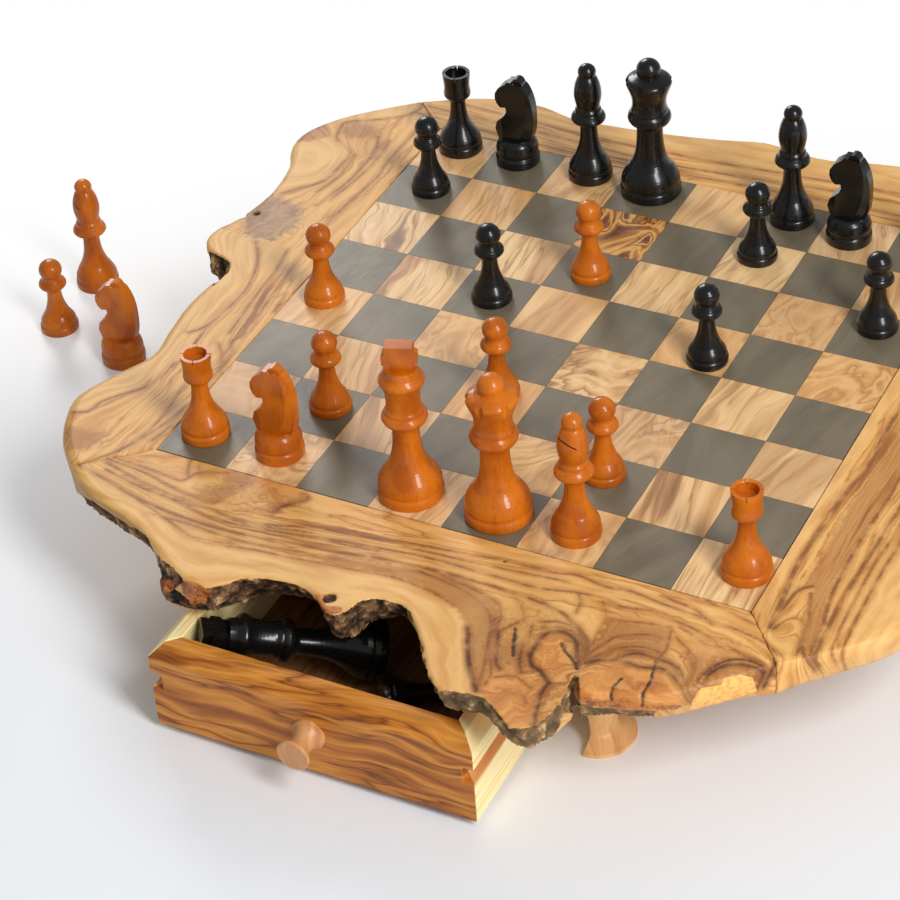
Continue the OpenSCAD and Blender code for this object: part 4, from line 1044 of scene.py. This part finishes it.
def in_groove(mesh, face):
    """Whether a face lies in a drawer side's runner groove."""
    heights = [mesh.vertices[v].co.z / MM for v in face.vertices]
    return min(heights) > GROOVE_LOW and max(heights) < GROOVE_HIGH


def ease_edges(node, body):
    """Stands for a flat-sided node, with its sharp edges sanded."""
    source = nodes[node]
    piece = link(node + "_eased", source.data.copy())
    shape = bmesh.new()
    shape.from_mesh(piece.data)
    bmesh.ops.remove_doubles(shape, verts=shape.verts, dist=1e-6)
    bmesh.ops.dissolve_limit(
        shape, angle_limit=math.radians(1), verts=shape.verts, edges=shape.edges)
    shape.to_mesh(piece.data)
    shape.free()
    apply_modifier(
        piece, "BEVEL", width=0.7 * MM, segments=3, limit_method="ANGLE",
        angle_limit=math.radians(25), use_clamp_overlap=True)
    for face in piece.data.polygons:
        face.use_smooth = False
    slot = SLOTS[node]
    piece.data.materials.clear()
    piece.data.materials.append(MATERIALS[slot])
    # Faces in a runner groove get the pine with painted shade
    if slot == "pine":
        piece.data.materials.append(GROOVE_SHADE_WOOD)
        for face in piece.data.polygons:
            face.material_index = int(in_groove(piece.data, face))
    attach(piece, body)
    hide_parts(node)


# ---- Stage and light ----

# Distances behind the board's centre, in millimetres, over which the table's colour turns paler, a painted
# light where the lamps fall off, and over which the camera sees it turn plain white
TABLE_LIGHT_PAINTED = (-50, 250)
TABLE_ENDS = (90, 330)
# How strongly the world lights the object
WORLD_LEVEL = 0.32
# Lamps turned to the board's centre: (name, place, sides, power in watts)
LAMPS = [
    ("key", (1.25, -0.75, 1.15), (0.45, 1.3), 29),
    ("back", (-1.5, 1.6, 1.2), (0.9, 0.9), 22),
]


def make_floor():
    """A pale table that fades to plain white behind the board. Its colour is painted paler toward the back,
    as painted light.
    """
    s = Shader("floor")
    x, y, _ = s.parts(s.place())
    away = s.add(
        s.times(y, math.cos(CAMERA_AZIMUTH)), s.times(x, -math.sin(CAMERA_AZIMUTH)))
    # Painted light: the table's colour pales toward the back
    shade = s.mix(s.spread(away, *TABLE_LIGHT_PAINTED), (240, 243, 247), (254, 254, 254))
    s.set(Base_Color=shade, Roughness=0.35, Specular_IOR_Level=0.2)
    white = s.node("ShaderNodeEmission")
    camera_ray = s.node("ShaderNodeLightPath").outputs["Is Camera Ray"]
    mixed = s.node("ShaderNodeMixShader")
    s.put(mixed.inputs[0], s.times(camera_ray, s.spread(away, *TABLE_ENDS)))
    s.put(mixed.inputs[1], s.surface.outputs[0])
    s.put(mixed.inputs[2], white.outputs[0])
    s.put(s.output.inputs["Surface"], mixed.outputs[0])
    bpy.ops.mesh.primitive_plane_add(size=12, location=(0, 0, TABLE_Z))
    floor = bpy.context.object
    floor.name = "floor"
    floor.data.materials.append(s.material)


def area_light(name, at, size, power):
    data = bpy.data.lights.new(name, "AREA")
    data.shape = "RECTANGLE"
    data.size, data.size_y = size
    data.energy = power
    light = bpy.data.objects.new(name, data)
    light.location = at
    light.rotation_euler = (-Vector(at)).to_track_quat("-Z", "Y").to_euler()
    bpy.context.scene.collection.objects.link(light)


def make_world():
    """A white background that lights the object at a lower level."""
    world = bpy.data.worlds.new("studio")
    bpy.context.scene.world = world
    world.use_nodes = True
    tree = world.node_tree
    light = tree.nodes["Background"]
    light.inputs["Color"].default_value = (1, 1, 1, 1)
    light.inputs["Strength"].default_value = WORLD_LEVEL
    seen = tree.nodes.new("ShaderNodeBackground")
    seen.inputs["Color"].default_value = (1, 1, 1, 1)
    path = tree.nodes.new("ShaderNodeLightPath")
    mix = tree.nodes.new("ShaderNodeMixShader")
    tree.links.new(path.outputs["Is Camera Ray"], mix.inputs[0])
    tree.links.new(light.outputs[0], mix.inputs[1])
    tree.links.new(seen.outputs[0], mix.inputs[2])
    tree.links.new(mix.outputs[0], tree.nodes["World Output"].inputs[0])


bpy.context.scene.view_settings.view_transform = "Standard"
make_camera()
make_world()
for lamp in LAMPS:
    area_light(*lamp)
make_floor()
dress_cad_nodes()
for node, (rings, along_x) in RAILS.items():
    make_rail(node, rings, along_x)
for body, flat_sided in EASED.items():
    for node in flat_sided:
        ease_edges(node, body)
